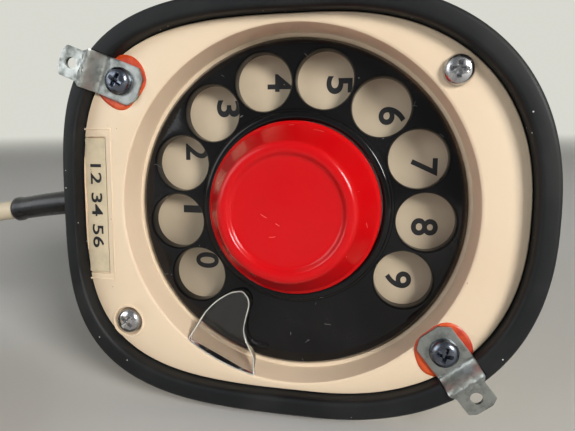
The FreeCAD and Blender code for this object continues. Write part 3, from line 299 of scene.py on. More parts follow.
letGo()
cordCurve = bpy.data.curves.new("lineCord", "CURVE")
cordCurve.dimensions = "3D"
route = [point * mm for point in cordPoints()]
spline = cordCurve.splines.new("NURBS")
spline.points.add(len(route) - 1)
for corner, point in zip(spline.points, route):
    corner.co = (*point, 1)
spline.order_u = 3
spline.use_endpoint_u = True
cordCurve.bevel_depth = cordLine["radius"] * mm
cordCurve.bevel_resolution = 6
cordCurve.resolution_u = 5
cordCurve.use_fill_caps = True
lineCord = bpy.data.objects.new("lineCord", cordCurve)
bpy.context.scene.collection.objects.link(lineCord)
print("cord laid:", len(route), "points")

# Effects that several finishes share, each in a node group of its own. An input without a value
# is a vector, one with four numbers is a colour, and the others are plain numbers.
def newGroup(name, inputs, outputs):
    group = bpy.data.node_groups.new(name, "ShaderNodeTree")
    for label, value in inputs.items():
        kind = "Vector" if value is None else "Color" if isinstance(value, tuple) else "Float"
        socket = group.interface.new_socket(label, in_out="INPUT", socket_type="NodeSocket" + kind)
        if value is not None:
            socket.default_value = value
    for label, kind in outputs.items():
        group.interface.new_socket(label, in_out="OUTPUT", socket_type="NodeSocket" + kind)
    given = group.nodes.new("NodeGroupInput").outputs
    return group, given, group.nodes.new("NodeGroupOutput")


def feed(tree, node, socket, source):
    if isinstance(source, bpy.types.NodeSocket):
        tree.links.new(source, node.inputs[socket])
    else:
        node.inputs[socket].default_value = source


def addNode(tree, kind, sources=None, **settings):
    node = tree.nodes.new(kind)
    for key, value in settings.items():
        setattr(node, key, value)
    for socket, source in (sources or {}).items():
        feed(tree, node, socket, source)
    return node


def maths(tree, action, *values, clamp=False):
    node = addNode(tree, "ShaderNodeMath", dict(enumerate(values)), operation=action,
                   use_clamp=clamp)
    return node.outputs[0]


def noise(tree, vector, scale, detail=2.0, rough=0.5):
    return addNode(tree, "ShaderNodeTexNoise",
                   {"Vector": vector, "Scale": scale, "Detail": detail, "Roughness": rough})


def spread(tree, value, low, high):
    node = addNode(tree, "ShaderNodeMapRange", {"Value": value, "From Min": low, "From Max": high},
                   interpolation_type="SMOOTHSTEP")
    return node.outputs["Result"]


def blendColor(tree, share, first, second):
    node = addNode(tree, "ShaderNodeMix", {"Factor": share, "A": first, "B": second},
                   data_type="RGBA")
    return node.outputs["Result"]


# Small specks of dust and lint: a cell pattern cut down to a few scattered spots.
def makeSpecks():
    group, given, result = newGroup(
        "dustSpecks", {"Vector": None, "Scale": 700.0, "Size": 0.1, "Share": 0.35},
        {"Mask": "Float"})
    cells = addNode(group, "ShaderNodeTexVoronoi",
                    {"Vector": given["Vector"], "Scale": given["Scale"]}, feature="F1")
    near = maths(group, "LESS_THAN", cells.outputs["Distance"], given["Size"])
    pick = addNode(group, "ShaderNodeSeparateColor", {"Color": cells.outputs["Color"]})
    chosen = maths(group, "LESS_THAN", pick.outputs["Red"], given["Share"])
    feed(group, result, "Mask", maths(group, "MULTIPLY", near, chosen))
    return group


# Hair scratches: thin lines of a warped, stretched cell pattern, broken up by a soft noise.
def makeScratches(warpScale=60.0, warp=0.012, patchScale=110.0):
    group, given, result = newGroup(
        "hairScratches", {"Vector": None, "Scale": 90.0, "Width": 0.012, "Share": 0.55},
        {"Mask": "Float"})
    drift = noise(group, given["Vector"], warpScale).outputs["Color"]
    bend = addNode(group, "ShaderNodeVectorMath", {0: drift, 1: (warp, warp, warp), 2: given["Vector"]},
                   operation="MULTIPLY_ADD")
    cells = addNode(group, "ShaderNodeTexVoronoi",
                    {"Vector": bend.outputs["Vector"], "Scale": given["Scale"]},
                    feature="DISTANCE_TO_EDGE")
    line = maths(group, "LESS_THAN", cells.outputs["Distance"], given["Width"])
    patch = noise(group, given["Vector"], patchScale).outputs["Fac"]
    shown = maths(group, "GREATER_THAN", patch, given["Share"])
    feed(group, result, "Mask", maths(group, "MULTIPLY", line, shown))
    return group


# Cloudy soiling: a change of tone where a fractal noise is high.
def makeSoil(detail=6.0, rough=0.62, clean=0.42, soiled=0.72):
    group, given, result = newGroup(
        "handlingSoil", {"Vector": None, "Clean": (1, 1, 1, 1), "Soiled": (0.5, 0.5, 0.5, 1),
                         "Scale": 25.0, "Amount": 0.5},
        {"Color": "Color", "Mask": "Float"})
    wide = noise(group, given["Vector"], given["Scale"], detail, rough).outputs["Fac"]
    share = maths(group, "MULTIPLY", spread(group, wide, clean, soiled), given["Amount"], clamp=True)
    feed(group, result, "Color", blendColor(group, share, given["Clean"], given["Soiled"]))
    feed(group, result, "Mask", share)
    return group


# Moulded or cast grain as a bump, fine over coarse.
def makeGrain(fineShare=0.35):
    group, given, result = newGroup(
        "surfaceGrain", {"Vector": None, "Fine": 2500.0, "Coarse": 150.0, "Depth": 0.02,
                         "Strength": 0.3},
        {"Normal": "Vector"})
    heights = []
    for label, share in (("Fine", fineShare), ("Coarse", 1 - fineShare)):
        layer = noise(group, given["Vector"], given[label]).outputs["Fac"]
        heights.append(maths(group, "MULTIPLY", layer, share))
    bump = addNode(group, "ShaderNodeBump", {
        "Strength": given["Strength"], "Distance": given["Depth"],
        "Height": maths(group, "ADD", *heights)})
    feed(group, result, "Normal", bump.outputs["Normal"])
    return group


soil, grain = makeSoil(), makeGrain()
# Each kind of mark has its node group, the name of its size there and how rough a mark is.
marks = {"scratches": (makeScratches(), "Width", 0.5), "specks": (makeSpecks(), "Size", 0.6)}


def placed(tree, group, values):
    return addNode(tree, "ShaderNodeGroup", values, node_tree=group).outputs


# A finish's colour is linear. Its soil, scratches, specks and grain are optional: soil is a tone,
# a scale and an amount, a mark is a colour, a scale, a size and a share, and grain is a fine and a
# coarse scale, a depth in millimetres and a strength.
def finish(name, look):
    material = bpy.data.materials.new(name)
    material.use_nodes = True
    tree = material.node_tree
    shader = tree.nodes["Principled BSDF"]
    where = addNode(tree, "ShaderNodeTexCoord").outputs["Object"]
    color = (*look["color"], 1)
    rough = look["rough"]
    if "soil" in look:
        tone, scale, amount = look["soil"]
        dirt = placed(tree, soil, {"Vector": where, "Clean": color, "Soiled": (*tone, 1),
                                   "Scale": scale, "Amount": amount})
        color = dirt["Color"]
        rough = maths(tree, "MULTIPLY_ADD", dirt["Mask"], look.get("soilRough", 0.15), rough)
    for kind, (group, label, markRough) in marks.items():
        if kind in look:
            tone, scale, width, share = look[kind]
            mask = placed(tree, group, {"Vector": where, "Scale": scale, label: width,
                                        "Share": share})["Mask"]
            color = blendColor(tree, mask, color, (*tone, 1))
            rough = maths(tree, "MAXIMUM", rough, maths(tree, "MULTIPLY", mask, markRough))
    feed(tree, shader, "Base Color", color)
    feed(tree, shader, "Roughness", rough)
    for label, key, plain in (("Metallic", "metal", 0.0), ("IOR", "ior", 1.5),
                              ("Coat Weight", "coat", 0.0), ("Coat Roughness", "coatRough", 0.05),
                              ("Transmission Weight", "clear", 0.0)):
        shader.inputs[label].default_value = look.get(key, plain)
    if "grain" in look:
        fine, coarse, depth, strength = look["grain"]
        texture = placed(tree, grain, {"Vector": where, "Fine": fine, "Coarse": coarse,
                                       "Depth": depth * mm, "Strength": strength})
        feed(tree, shader, "Normal", texture["Normal"])
    return material


finishes = {
    "moulding": {"color": (0.78, 0.68, 0.50), "rough": 0.26, "soil": ((0.60, 0.49, 0.33), 18, 0.35),
                 "grain": (900, 60, 0.02, 0.25), "specks": ((0.35, 0.27, 0.18), 260, 0.05, 0.1),
                 "coat": 0.2, "coatRough": 0.12},
    "basePlate": {"color": (0.76, 0.61, 0.44), "rough": 0.38, "soil": ((0.66, 0.50, 0.34), 22, 0.4),
                  "grain": (1400, 120, 0.012, 0.3), "specks": ((0.25, 0.18, 0.12), 420, 0.05, 0.12)},
    "rubber": {"color": (0.005, 0.006, 0.007), "rough": 0.5, "ior": 1.36,
               "soil": ((0.014, 0.015, 0.015), 60, 0.8), "grain": (1800, 300, 0.02, 0.4),
               "specks": ((0.50, 0.50, 0.46), 420, 0.07, 0.22)},
    "wheelBlack": {"color": (0.004, 0.004, 0.0045), "rough": 0.08, "soilRough": 0.12, "ior": 1.36,
                   "soil": ((0.011, 0.011, 0.012), 45, 0.7), "specks": ((0.42, 0.41, 0.4), 520, 0.05, 0.2),
                   "scratches": ((0.10, 0.10, 0.10), 120, 0.007, 0.62)},
    "redButton": {"color": (0.58, 0.0015, 0.004), "rough": 0.2, "soilRough": 0.18, "ior": 1.38,
                  "soil": ((0.52, 0.002, 0.005), 35, 0.5),
                  "specks": ((0.85, 0.35, 0.33), 480, 0.05, 0.1),
                  "scratches": ((0.78, 0.14, 0.12), 95, 0.006, 0.66)},
    "numberPlate": {"color": (0.60, 0.50, 0.36), "rough": 0.42,
                    "soil": ((0.48, 0.38, 0.25), 40, 0.45), "grain": (2200, 500, 0.004, 0.25)},
    "digitInk": {"color": (0.008, 0.008, 0.009), "rough": 0.45,
                 "soil": ((0.02, 0.019, 0.018), 120, 0.5)},
    "zinc": {"color": (0.40, 0.42, 0.40), "rough": 0.36, "metal": 1.0, "soilRough": 0.2,
             "soil": ((0.17, 0.18, 0.165), 260, 1.0), "grain": (900, 330, 0.10, 0.8)},
    "screwChrome": {"color": (0.62, 0.62, 0.63), "rough": 0.16, "metal": 1.0, "soilRough": 0.3,
                    "soil": ((0.20, 0.20, 0.21), 320, 0.8), "grain": (900, 500, 0.02, 0.4)},
    "screwBlued": {"color": (0.16, 0.18, 0.22), "rough": 0.2, "metal": 1.0, "soilRough": 0.3,
                   "soil": ((0.06, 0.06, 0.07), 320, 0.7), "grain": (900, 500, 0.02, 0.4)},
    "sealWax": {"color": (0.62, 0.075, 0.01), "rough": 0.42, "coat": 0.2,
                "soil": ((0.38, 0.008, 0.004), 160, 0.9), "grain": (700, 230, 0.25, 0.9)},
    "paper": {"color": (0.62, 0.52, 0.36), "rough": 0.72, "soil": ((0.42, 0.37, 0.26), 160, 0.8),
              "grain": (2600, 700, 0.02, 0.5), "specks": ((0.16, 0.13, 0.09), 900, 0.1, 0.2)},
    "clearStop": {"color": (0.97, 0.975, 0.97), "rough": 0.04, "clear": 1.0, "ior": 1.46},
    # The pale edge colour of the bead round the stop is a painted highlight, not a colour of the clear
    # plastic.
    "paintedEdgeHighlight": {"color": (0.62, 0.61, 0.56), "rough": 0.12,
                  "soil": ((0.30, 0.30, 0.28), 180, 0.9)},
    "sleeveBlack": {"color": (0.007, 0.008, 0.010), "rough": 0.24,
                    "soil": ((0.014, 0.015, 0.017), 90, 0.7), "grain": (1600, 220, 0.02, 0.3)},
    "cordIvory": {"color": (0.64, 0.56, 0.42), "rough": 0.42, "soil": ((0.48, 0.40, 0.28), 45, 0.6),
                  "grain": (1200, 200, 0.02, 0.35)},
    "brass": {"color": (0.74, 0.53, 0.22), "rough": 0.28, "metal": 1.0,
              "soil": ((0.46, 0.30, 0.12), 140, 0.7)},
    "springSteel": {"color": (0.42, 0.42, 0.43), "rough": 0.3, "metal": 1.0,
                    "soil": ((0.22, 0.22, 0.23), 220, 0.6)},
    "platedSheet": {"color": (0.55, 0.54, 0.50), "rough": 0.36, "metal": 1.0,
                    "soil": ((0.38, 0.36, 0.30), 90, 0.8), "grain": (1500, 200, 0.01, 0.3)},
    "phenolic": {"color": (0.17, 0.07, 0.03), "rough": 0.4, "soil": ((0.10, 0.045, 0.02), 120, 0.7),
                 "grain": (1500, 300, 0.02, 0.3)},
    "winding": {"color": (0.42, 0.16, 0.05), "rough": 0.4, "soil": ((0.28, 0.10, 0.03), 400, 0.8),
                "grain": (1500, 900, 0.05, 0.8)},
    "laminations": {"color": (0.20, 0.20, 0.21), "rough": 0.45, "metal": 0.8,
                    "soil": ((0.10, 0.08, 0.06), 200, 0.8)},
    "capsule": {"color": (0.58, 0.58, 0.58), "rough": 0.3, "metal": 1.0,
                "soil": ((0.40, 0.40, 0.40), 120, 0.6), "grain": (1500, 300, 0.01, 0.25)},
}
paint = {name: finish(name, look) for name, look in finishes.items()}
print("finishes ready:", len(paint))


# The outline of the base, drawn in by an inset, as points in millimetres at a height. At the rear
# the ring is narrower, so an inset counts for less there.
outlineShape = {"centre": 4.5, "front": 50.9, "rear": 59.3, "side": 47.5, "frontPower": 2.37,
                "rearPower": 3.3, "points": 240, "rearInset": 0.74}


def outline(inset, height):
    points = []
    for turn in aroundTurn(outlineShape["points"]):
        along, across = math.cos(turn), math.sin(turn)
        end = "front" if along > 0 else "rear"
        power = outlineShape[end + "Power"]
        share = outlineShape["rearInset"] if end == "rear" else 1.0
        reach, side = outlineShape[end] - inset * share, outlineShape["side"] - inset
        radius = (abs(along / reach) ** power + abs(across / side) ** power) ** (-1 / power)
        points.append(Vector((outlineShape["centre"] + radius * along, radius * across, height)))
    return points


def ringOf(radius, height):
    count = outlineShape["points"]
    return [polar(radius, 360 * index / count, height) / mm for index in range(count)]


def peg(radius, low, high, along, across, steps=64):
    rod = turned("tool", ((0, low), (radius, low), (radius, high), (0, high)), steps, False)
    return settle(rod, turnPlace(along, across))


def block(size, middle):
    letGo()
    bpy.ops.mesh.primitive_cube_add(size=1, scale=Vector(size) * mm)
    return settle(bpy.context.object, turnPlace(*middle))


# Where the four screws are, along and across the base, and how far each bracket is turned.
corners = {"frontBracket": (34.7, 30.0, 50.9), "frontPlain": (34.7, -30.0, 0.0),
           "rearPlain": (-40.6, 29.0, 0.0), "rearBracket": (-40.6, -29.0, -158.7)}

# The shell is the frame's own mesh, merged so that it shades smoothly.
shell = frame["nodes"]["shell"].copy()
shell.data = shell.data.copy()
shell.name = "shellSkin"
shell.parent = None
bpy.context.scene.collection.objects.link(shell)
for label in [label for label in shell.keys() if label.startswith("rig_")]:
    del shell[label]
openMesh(shell)
mergeNear()
bpy.ops.object.mode_set(mode="OBJECT")
dress(shell, "body", paint["moulding"], ["shell"], 30, laid=False)
print("shell merged:", len(shell.data.polygons), "faces")

# The rubber ring, with room under each bracket's step.
ringShape = {
    "section": ((0.05, 5.0), (0.0, 4.6), (0.0, 1.0), (0.2, 0.45), (0.6, 0.08), (1.1, 0.0),
                (3.3, 0.0), (3.9, 0.1), (4.3, 0.5), (4.5, 1.1), (4.5, 6.8), (2.75, 6.8),
                (2.75, 5.0)),
    "notchWidth": 9.3, "notch": ((-1.7, -1.0), (7.7, -1.0), (7.7, 0.0), (4.3, 3.7), (-1.7, 3.7)),
}
ring = skinned("rubberRing", [outline(*spot) for spot in ringShape["section"]], closed=True)
for name in ("frontBracket", "rearBracket"):
    along, across, turn = corners[name]
    half = ringShape["notchWidth"] / 2
    wedge = skinned("tool", [[Vector((ahead, side, level)) for ahead, level in ringShape["notch"]]
                             for side in (-half, half)])
    carve(ring, settle(wedge, turnPlace(along, across, 0, turn)))
dress(ring, "body", paint["rubber"], ["rubber_ring"], 40)
print("rubber ring made")

# The base plate runs from the ring's inner edge over the crest and down the wall of the dial well.
plateShape = {
    "face": 3.5, "inset": 4.75, "rim": ((-0.05, 2.5), (-0.05, 0.35), (0.2, 0.0)),
    "section": ((41.6, 3.5), (41.2, 3.53), (40.95, 3.7), (40.8, 4.1), (40.62, 11.3), (40.5, 11.6),
                (39.9, 11.75), (39.65, 11.95), (39.6, 16.1), (30.0, 16.1), (30.0, 17.2), (42.9, 17.2),
                (42.9, 6.0)),
    "cutFrom": 2.0, "cardPocket": (6.0, 33.6, 1.0), "cardMiddle": (-48.1, 0.5),
    "pockets": {"frontBracket": (5.8, 1.0), "rearBracket": (5.8, 1.0), "rearPlain": (3.6, 1.3)},
}
plateLoops = [outline(plateShape["inset"] + inward, plateShape["face"] + behind)
              for inward, behind in plateShape["rim"]]
plateLoops += [ringOf(radius, level) for radius, level in plateShape["section"]]
plate = skinned("basePlate", plateLoops, closed=True)
for name, (radius, depth) in plateShape["pockets"].items():
    carve(plate, peg(radius, plateShape["cutFrom"], plateShape["face"] + depth, *corners[name][:2]))
carve(plate, block(plateShape["cardPocket"], (*plateShape["cardMiddle"], plateShape["face"])))
soften(plate, 0.18, 40)
dress(plate, "body", paint["basePlate"], ["base_plate"], 35)
print("base plate made")

# Raised lips, thin rounded beads on the plate: round the sunk screw and the card.
lipShape = {"radius": 3.95, "steps": 72, "section": ((-0.275, 0.1), (-0.165, -0.224), (0.0, -0.28),
                                                     (0.165, -0.224), (0.275, 0.1)),
            "bead": 0.45, "rise": 0.3, "side": -43.9, "ends": (-18.1, 18.6), "run": 7.2}
level, bead, rise = plateShape["face"], lipShape["bead"], lipShape["rise"]
roundLip = turned("plateLips", [(lipShape["radius"] + out, level + height)
                                for out, height in lipShape["section"]], lipShape["steps"])
lips = [settle(roundLip, turnPlace(*corners["rearPlain"][:2]))]
side, (first, last) = lipShape["side"], lipShape["ends"]
lips.append(block((bead, last - first + bead, rise), (side, (first + last) / 2, level)))
for across in (first, last):
    lips.append(block((lipShape["run"], bead, rise), (side - lipShape["run"] / 2, across, level)))
for lip in lips[1:]:
    soften(lip, 0.1, 40)
plateLips = joined(*lips)
dress(plateLips, "body", paint["basePlate"], (), 50)

# The finger wheel, with ten holes whose lips are rounded over at the face.
wheelShape = {
    "section": ((21.5, 13.5), (21.5, 10.5), (21.7, 10.3), (22.9, 10.3), (23.0, 10.36),
                (23.15, 10.36), (23.25, 10.3), (37.9, 10.3), (38.6, 10.45), (38.95, 10.9),
                (39.0, 11.5), (39.0, 13.3), (38.8, 13.5)),
    "holes": 10, "circle": 30.45, "first": 144.1, "step": 27.6,
    "lip": ((0.0, 9.5), (7.25, 9.5), (7.16, 10.2), (7.1, 10.3), (6.95, 10.5), (6.8, 10.78),
            (6.72, 11.1), (6.7, 14.5), (0.0, 14.5)),
}
wheel = turned("fingerWheel", wheelShape["section"], 192)
lipTool = turned("tool", wheelShape["lip"], 72, False)
for number in range(wheelShape["holes"]):
    spot = polar(wheelShape["circle"], wheelShape["first"] + wheelShape["step"] * number) / mm
    carve(wheel, settle(twin(lipTool, "toolCopy"), turnPlace(spot.x, spot.y)))
bpy.data.objects.remove(lipTool)
dress(wheel, "dial", paint["wheelBlack"], ["finger_wheel", "wheel_rim"], 30)

collarShape = ((20.6, 9.6), (20.75, 9.35), (21.05, 9.2), (22.0, 9.2), (22.35, 9.35), (22.55, 9.65),
               (22.6, 10.3), (21.5, 10.3), (21.5, 13.7), (20.6, 13.7))
collar = turned("wheelCollar", collarShape, 160)
dress(collar, "dial", paint["wheelBlack"], ["wheel_collar"], 50)
print("finger wheel made")

# The number plate under the wheel, with one black figure to each hole.
figureShape = {
    "plate": ((23.7, 16.08), (23.7, 15.4), (23.8, 15.3), (39.1, 15.3), (39.25, 15.45),
              (39.25, 16.08)),
    "height": 6.2, "width": 4.2, "narrow": 1.9, "weight": 0.022, "level": 15.29,
    "thickness": 0.04, "fontDepth": 0.01,
    "places": {"0": (-24.13, 15.24), "1": (-27.41, 1.84), "2": (-26.52, -12.96),
               "3": (-18.09, -23.71), "4": (-5.04, -29.78), "5": (9.45, -29.07),
               "6": (21.95, -21.76), "7": (29.71, -9.93), "8": (30.46, 4.33),
               "9": (24.84, 17.53)},
}
numberPlate = turned("numberPlate", figureShape["plate"], 160)
dress(numberPlate, "body", paint["numberPlate"], ["number_plate"], 35)
# Figures are read from below, with their tops towards the front.
readAcross = Matrix(((0, 1, 0, 0), (1, 0, 0, 0), (0, 0, -1, 0), (0, 0, 0, 1)))


def figure(words, height, width, middle, level, weight):
    letGo()
    bpy.ops.object.text_add()
    text = bpy.context.object
    text.data.body = words
    text.data.offset = weight
    text.data.extrude = figureShape["fontDepth"]
    take(text)
    bpy.ops.object.convert(target="MESH")
    spots = [corner.co for corner in text.data.vertices]
    low = Vector([min(spot[axis] for spot in spots) for axis in range(3)])
    high = Vector([max(spot[axis] for spot in spots) for axis in range(3)])
    grow = Matrix.Diagonal((width * mm / (high.x - low.x), height * mm / (high.y - low.y),
                            figureShape["thickness"] * mm / (high.z - low.z), 1))
    centred = grow @ Matrix.Translation(-(low + high) / 2)
    return settle(text, turnPlace(*middle, level) @ readAcross @ centred)


figures = []
for words, middle in figureShape["places"].items():
    width = figureShape["narrow"] if words == "1" else figureShape["width"]
    figures.append(figure(words, figureShape["height"], width, middle, figureShape["level"],
                          figureShape["weight"]))
dialFigures = joined(*figures)
dialFigures.name = "dialFigures"
dress(dialFigures, "body", paint["digitInk"], (), 30)
print("number plate made")

# The card in its pocket, with plain numbers on it.
cardShape = {"size": (5.2, 32.6, 0.25), "middle": (-48.0, 0.5), "level": 3.85, "cuts": 12,
             "bow": 0.12, "wave": 7.0, "words": "12 34 56", "letterHeight": 2.9,
             "letterRun": 20.5, "letterLevel": 3.56, "letterWeight": 0.012}
card = block(cardShape["size"], (*cardShape["middle"], cardShape["level"]))
card.name = "labelCard"
openMesh(card)
bpy.ops.mesh.subdivide(number_cuts=cardShape["cuts"])
bpy.ops.object.mode_set(mode="OBJECT")
# The old paper bows a little.
for corner in card.data.vertices:
    along = corner.co.y / mm / cardShape["size"][1]
    corner.co.z -= cardShape["bow"] * mm * math.sin(along * cardShape["wave"]) ** 2
dress(card, "body", paint["paper"], ["label_card"], 40)
cardWords = figure(cardShape["words"], cardShape["letterHeight"], cardShape["letterRun"],
                   cardShape["middle"], cardShape["letterLevel"], cardShape["letterWeight"])
cardWords.name = "cardFigures"
dress(cardWords, "body", paint["digitInk"], (), 30)
print("card made")

# The clear finger stop: a fin over the wheel that sweeps up on to the crest of the plate.
stopShape = {
    "straight": ((24.7, 121.3), (25.5, 123.6), (27.2, 126.4), (30.7, 128.8), (34.3, 129.5),
                 (36.6, 129.2), (38.6, 128.2), (40.75, 127.3)),
    "hollow": ((24.7, 119.6), (25.4, 116.4), (27.0, 114.2), (30.7, 112.9), (33.6, 111.6),
               (36.2, 108.6), (38.2, 104.0), (40.75, 101.7)),
    "low": 8.4, "high": 3.35, "riseStart": 36.0, "riseEnd": 40.4, "thickness": 1.3, "swell": 1.1,
    "tuck": 0.22, "rows": 42, "columns": 16,
}


# A spot on an edge of the stop, a share of the way from its tip, on a smooth curve through its
# radius and angle corners.
def edgeSpot(edge, share):
    spots = [polar(*corner) / mm for corner in stopShape[edge]]
    spots = [2 * spots[0] - spots[1]] + spots + [2 * spots[-1] - spots[-2]]
    place = share * (len(spots) - 3)
    first = min(int(place), len(spots) - 4)
    t = place - first
    before, start, end, after = spots[first:first + 4]
    return 0.5 * (2 * start + (end - before) * t + (2 * before - 5 * start + 4 * end - after) * t ** 2
                  + (3 * start - before - 3 * end + after) * t ** 3)


def stopSpot(share, side):
    straight, curved = edgeSpot("straight", share), edgeSpot("hollow", share)
    spot = straight.lerp(curved, side)
    reach = straight.length + (curved.length - straight.length) * side
    return spot.normalized() * reach


def stopLevel(spot):
    span = stopShape["riseEnd"] - stopShape["riseStart"]
    share = smooth((spot.length - stopShape["riseStart"]) / span)
    return stopShape["low"] + (stopShape["high"] - stopShape["low"]) * share, share


stopLoops = []
for row in range(stopShape["rows"] + 1):
    share = row / stopShape["rows"]
    front, back = [], []
    for column in range(stopShape["columns"] + 1):
        side = 0.5 - 0.5 * math.cos(math.pi * column / stopShape["columns"])
        spot = stopSpot(share, side)
        level, rise = stopLevel(spot)
        thick = stopShape["thickness"] * (1 + stopShape["swell"] * math.sin(math.pi * rise))
        tuck = stopShape["tuck"] if column in (0, stopShape["columns"]) else 0.0
        front.append(Vector((spot.x, spot.y, level + tuck)))
        back.append(Vector((spot.x, spot.y, level + thick - tuck)))
    stopLoops.append(front + back[::-1])
stop = soften(skinned("fingerStop", stopLoops), 0.15, 50)
dress(stop, "body", paint["clearStop"], ["finger_stop"], 50)

# A painted highlight round the clear stop: a fine pale bead along its moulded edge, standing in for the
# light that the edge catches all the way round.
highlightBeadShape = {"radius": 0.16, "sides": 8, "steps": 60, "sunk": 0.13, "rootSteps": 30}
steps, rootSteps = highlightBeadShape["steps"], highlightBeadShape["rootSteps"]
highlightBeadSpots = [edgeSpot("straight", 1 - step / steps) for step in range(steps + 1)]
highlightBeadSpots += [edgeSpot("hollow", step / steps) for step in range(steps + 1)]
highlightBeadSpots += [stopSpot(1.0, 1 - step / rootSteps) for step in range(1, rootSteps)]
highlightBeadLine = [Vector((spot.x, spot.y, stopLevel(spot)[0] + highlightBeadShape["sunk"])) for spot in highlightBeadSpots]
highlightBeadLoops = []
for index, middle in enumerate(highlightBeadLine):
    way = (highlightBeadLine[min(index + 1, len(highlightBeadLine) - 1)] - highlightBeadLine[max(index - 1, 0)]).normalized()
    side = way.cross(Vector((0, 0, 1))).normalized()
    highlightBeadLoops.append(hoop(middle, side, side.cross(way), highlightBeadShape["radius"], highlightBeadShape["sides"]))
dress(skinned("stopHighlightBead", highlightBeadLoops), "body", paint["paintedEdgeHighlight"], (), 60)
print("finger stop made")

# The hook button, dished, with a rolled rim and a long tapered flank.
buttonShape = ((0.0, -1.7), (6.0, -1.7), (11.6, -1.7), (12.1, -1.75), (12.5, -1.95), (12.8, -2.3),
               (13.1, -2.58), (13.5, -2.7), (14.3, -2.7), (14.9, -2.55), (15.35, -2.2), (15.7, -1.55),
               (19.2, 5.4), (19.5, 5.85), (20.0, 6.2), (20.2, 6.5), (20.25, 6.9), (20.25, 9.9),
               (18.25, 9.9), (18.25, 6.8), (13.6, 1.3), (0.0, 1.3))
button = turned("hookButton", buttonShape, 160, False)
dress(button, "button", paint["redButton"], ["hook_button"], 40)
print("hook button made")

# Pan-head screws with a cross recess. Each has its own turn of the recess.
screwShape = {
    "head": ((0.0, -2.15), (1.2, -2.12), (2.1, -1.95), (2.75, -1.55), (3.1, -0.95), (3.2, -0.35),
             (3.2, 0.0), (0.0, 0.0)),
    "recess": ((1.95, 0.49, -0.3), (1.85, 0.46, 0.0), (1.0, 0.28, 1.5)),
    "seats": {"frontBracket": (2.7, 12.0), "rearBracket": (2.7, 33.0), "frontPlain": (3.5, 4.0),
              "rearPlain": (4.55, 40.0)},
}


def crossLoop(reach, half, level):
    quarter = [(reach, -half), (reach, half), (half, half)]
    loop = []
    for step in range(4):
        turn = Matrix.Rotation(math.pi / 2 * step, 2)
        loop += [turn @ Vector(spot) for spot in quarter]
    return [Vector((spot.x, spot.y, level)) for spot in loop]


screwHead = turned("screwHead", screwShape["head"], 64, False)
top = screwShape["head"][0][1]
carve(screwHead, skinned("tool", [crossLoop(reach, half, top + below)
                                  for reach, half, below in screwShape["recess"]]))
soften(screwHead, 0.06, 45)
heads = {}
for name, (seat, turn) in screwShape["seats"].items():
    along, across, _ = corners[name]
    heads[name] = settle(twin(screwHead, name + "Screw"), turnPlace(along, across, seat, turn))
bpy.data.objects.remove(screwHead)
plainScrews = joined(heads["frontPlain"], heads["rearPlain"])
plainScrews.name = "plainScrews"
bracketScrews = joined(heads["frontBracket"], heads["rearBracket"])
bracketScrews.name = "bracketScrews"
dress(plainScrews, "body", paint["screwChrome"], ["base_screws"], 35)
dress(bracketScrews, "body", paint["screwBlued"], ["bracket_screws"], 35)
print("screws made")

# The two joggled mounting strips, hammered a little where they step over the ring.
bracketShape = {
    "thickness": 0.8, "hole": 1.3, "holeAt": 10.3, "foot": 2.7, "tab": -1.1, "stepStart": 4.1,
    "stepEnd": 7.5, "columns": 18, "bentRows": (3.6, 0.3, 16),
    "flatRows": (-3.0, -1.5, 0.0, 1.5, 3.0, 9.0, 10.0, 11.0),
    "bentZone": (3.6, 8.4), "bentDent": 0.1, "flatDent": 0.025, "dentThrough": 0.4,
    "plan": ((-5.4, 2.3), (-5.1, 2.8), (-3.9, 4.3), (-3.5, 4.5), (4.0, 4.5), (7.2, 4.4), (7.9, 3.8),
             (8.4, 3.5), (12.2, 3.5), (12.5, 3.35), (13.2, 2.1), (13.3, 1.8)),
}


def bracketHalf(along):
    for (start, first), (end, last) in zip(bracketShape["plan"], bracketShape["plan"][1:]):
        if start <= along <= end:
            return first + (last - first) * (along - start) / (end - start)
    return bracketShape["plan"][-1][1]


def bracket(name, node, corner):
    first, gap, count = bracketShape["bentRows"]
    stations = {along for along, half in bracketShape["plan"]}
    stations.update([first + gap * step for step in range(count)], bracketShape["flatRows"])
    span = bracketShape["stepEnd"] - bracketShape["stepStart"]
    bentFrom, bentTo = bracketShape["bentZone"]
    loops = []
    for along in sorted(stations):
        half = bracketHalf(along)
        share = smooth((along - bracketShape["stepStart"]) / span)
        level = bracketShape["foot"] + (bracketShape["tab"] - bracketShape["foot"]) * share
        worn = bracketShape["bentDent" if bentFrom < along < bentTo else "flatDent"]
        face, back = [], []
        for column in range(bracketShape["columns"] + 1):
            across = half * (2 * column / bracketShape["columns"] - 1)
            dent = random.uniform(-worn, worn)
            under = level + bracketShape["thickness"] + bracketShape["dentThrough"] * dent
            face.append(Vector((along, across, level + dent)))
            back.append(Vector((along, across, under)))
        loops.append(face + back[::-1])
    strip = skinned(name, loops)
    carve(strip, peg(bracketShape["hole"], -4.0, 2.0, bracketShape["holeAt"], 0.0, 48))
    soften(strip, 0.12, 50)
    along, across, turn = corner
    settle(strip, turnPlace(along, across, 0, turn))
    dress(strip, "body", paint["zinc"], [node], 50)


bracket("frontBracket", "bracket_front", corners["frontBracket"])
bracket("rearBracket", "bracket_rear", corners["rearBracket"])
print("brackets made")

# Sealing wax under each bracket's foot, run out unevenly.
waxShape = {"radius": 6.2, "uneven": 0.55, "waves": 4, "lump": 0.05, "points": 96,
            "rows": ((0.9, 4.46), (0.92, 3.9), (1.0, 3.52), (0.98, 3.36), (0.88, 3.3),
                     (0.6, 3.42), (0.3, 3.44))}


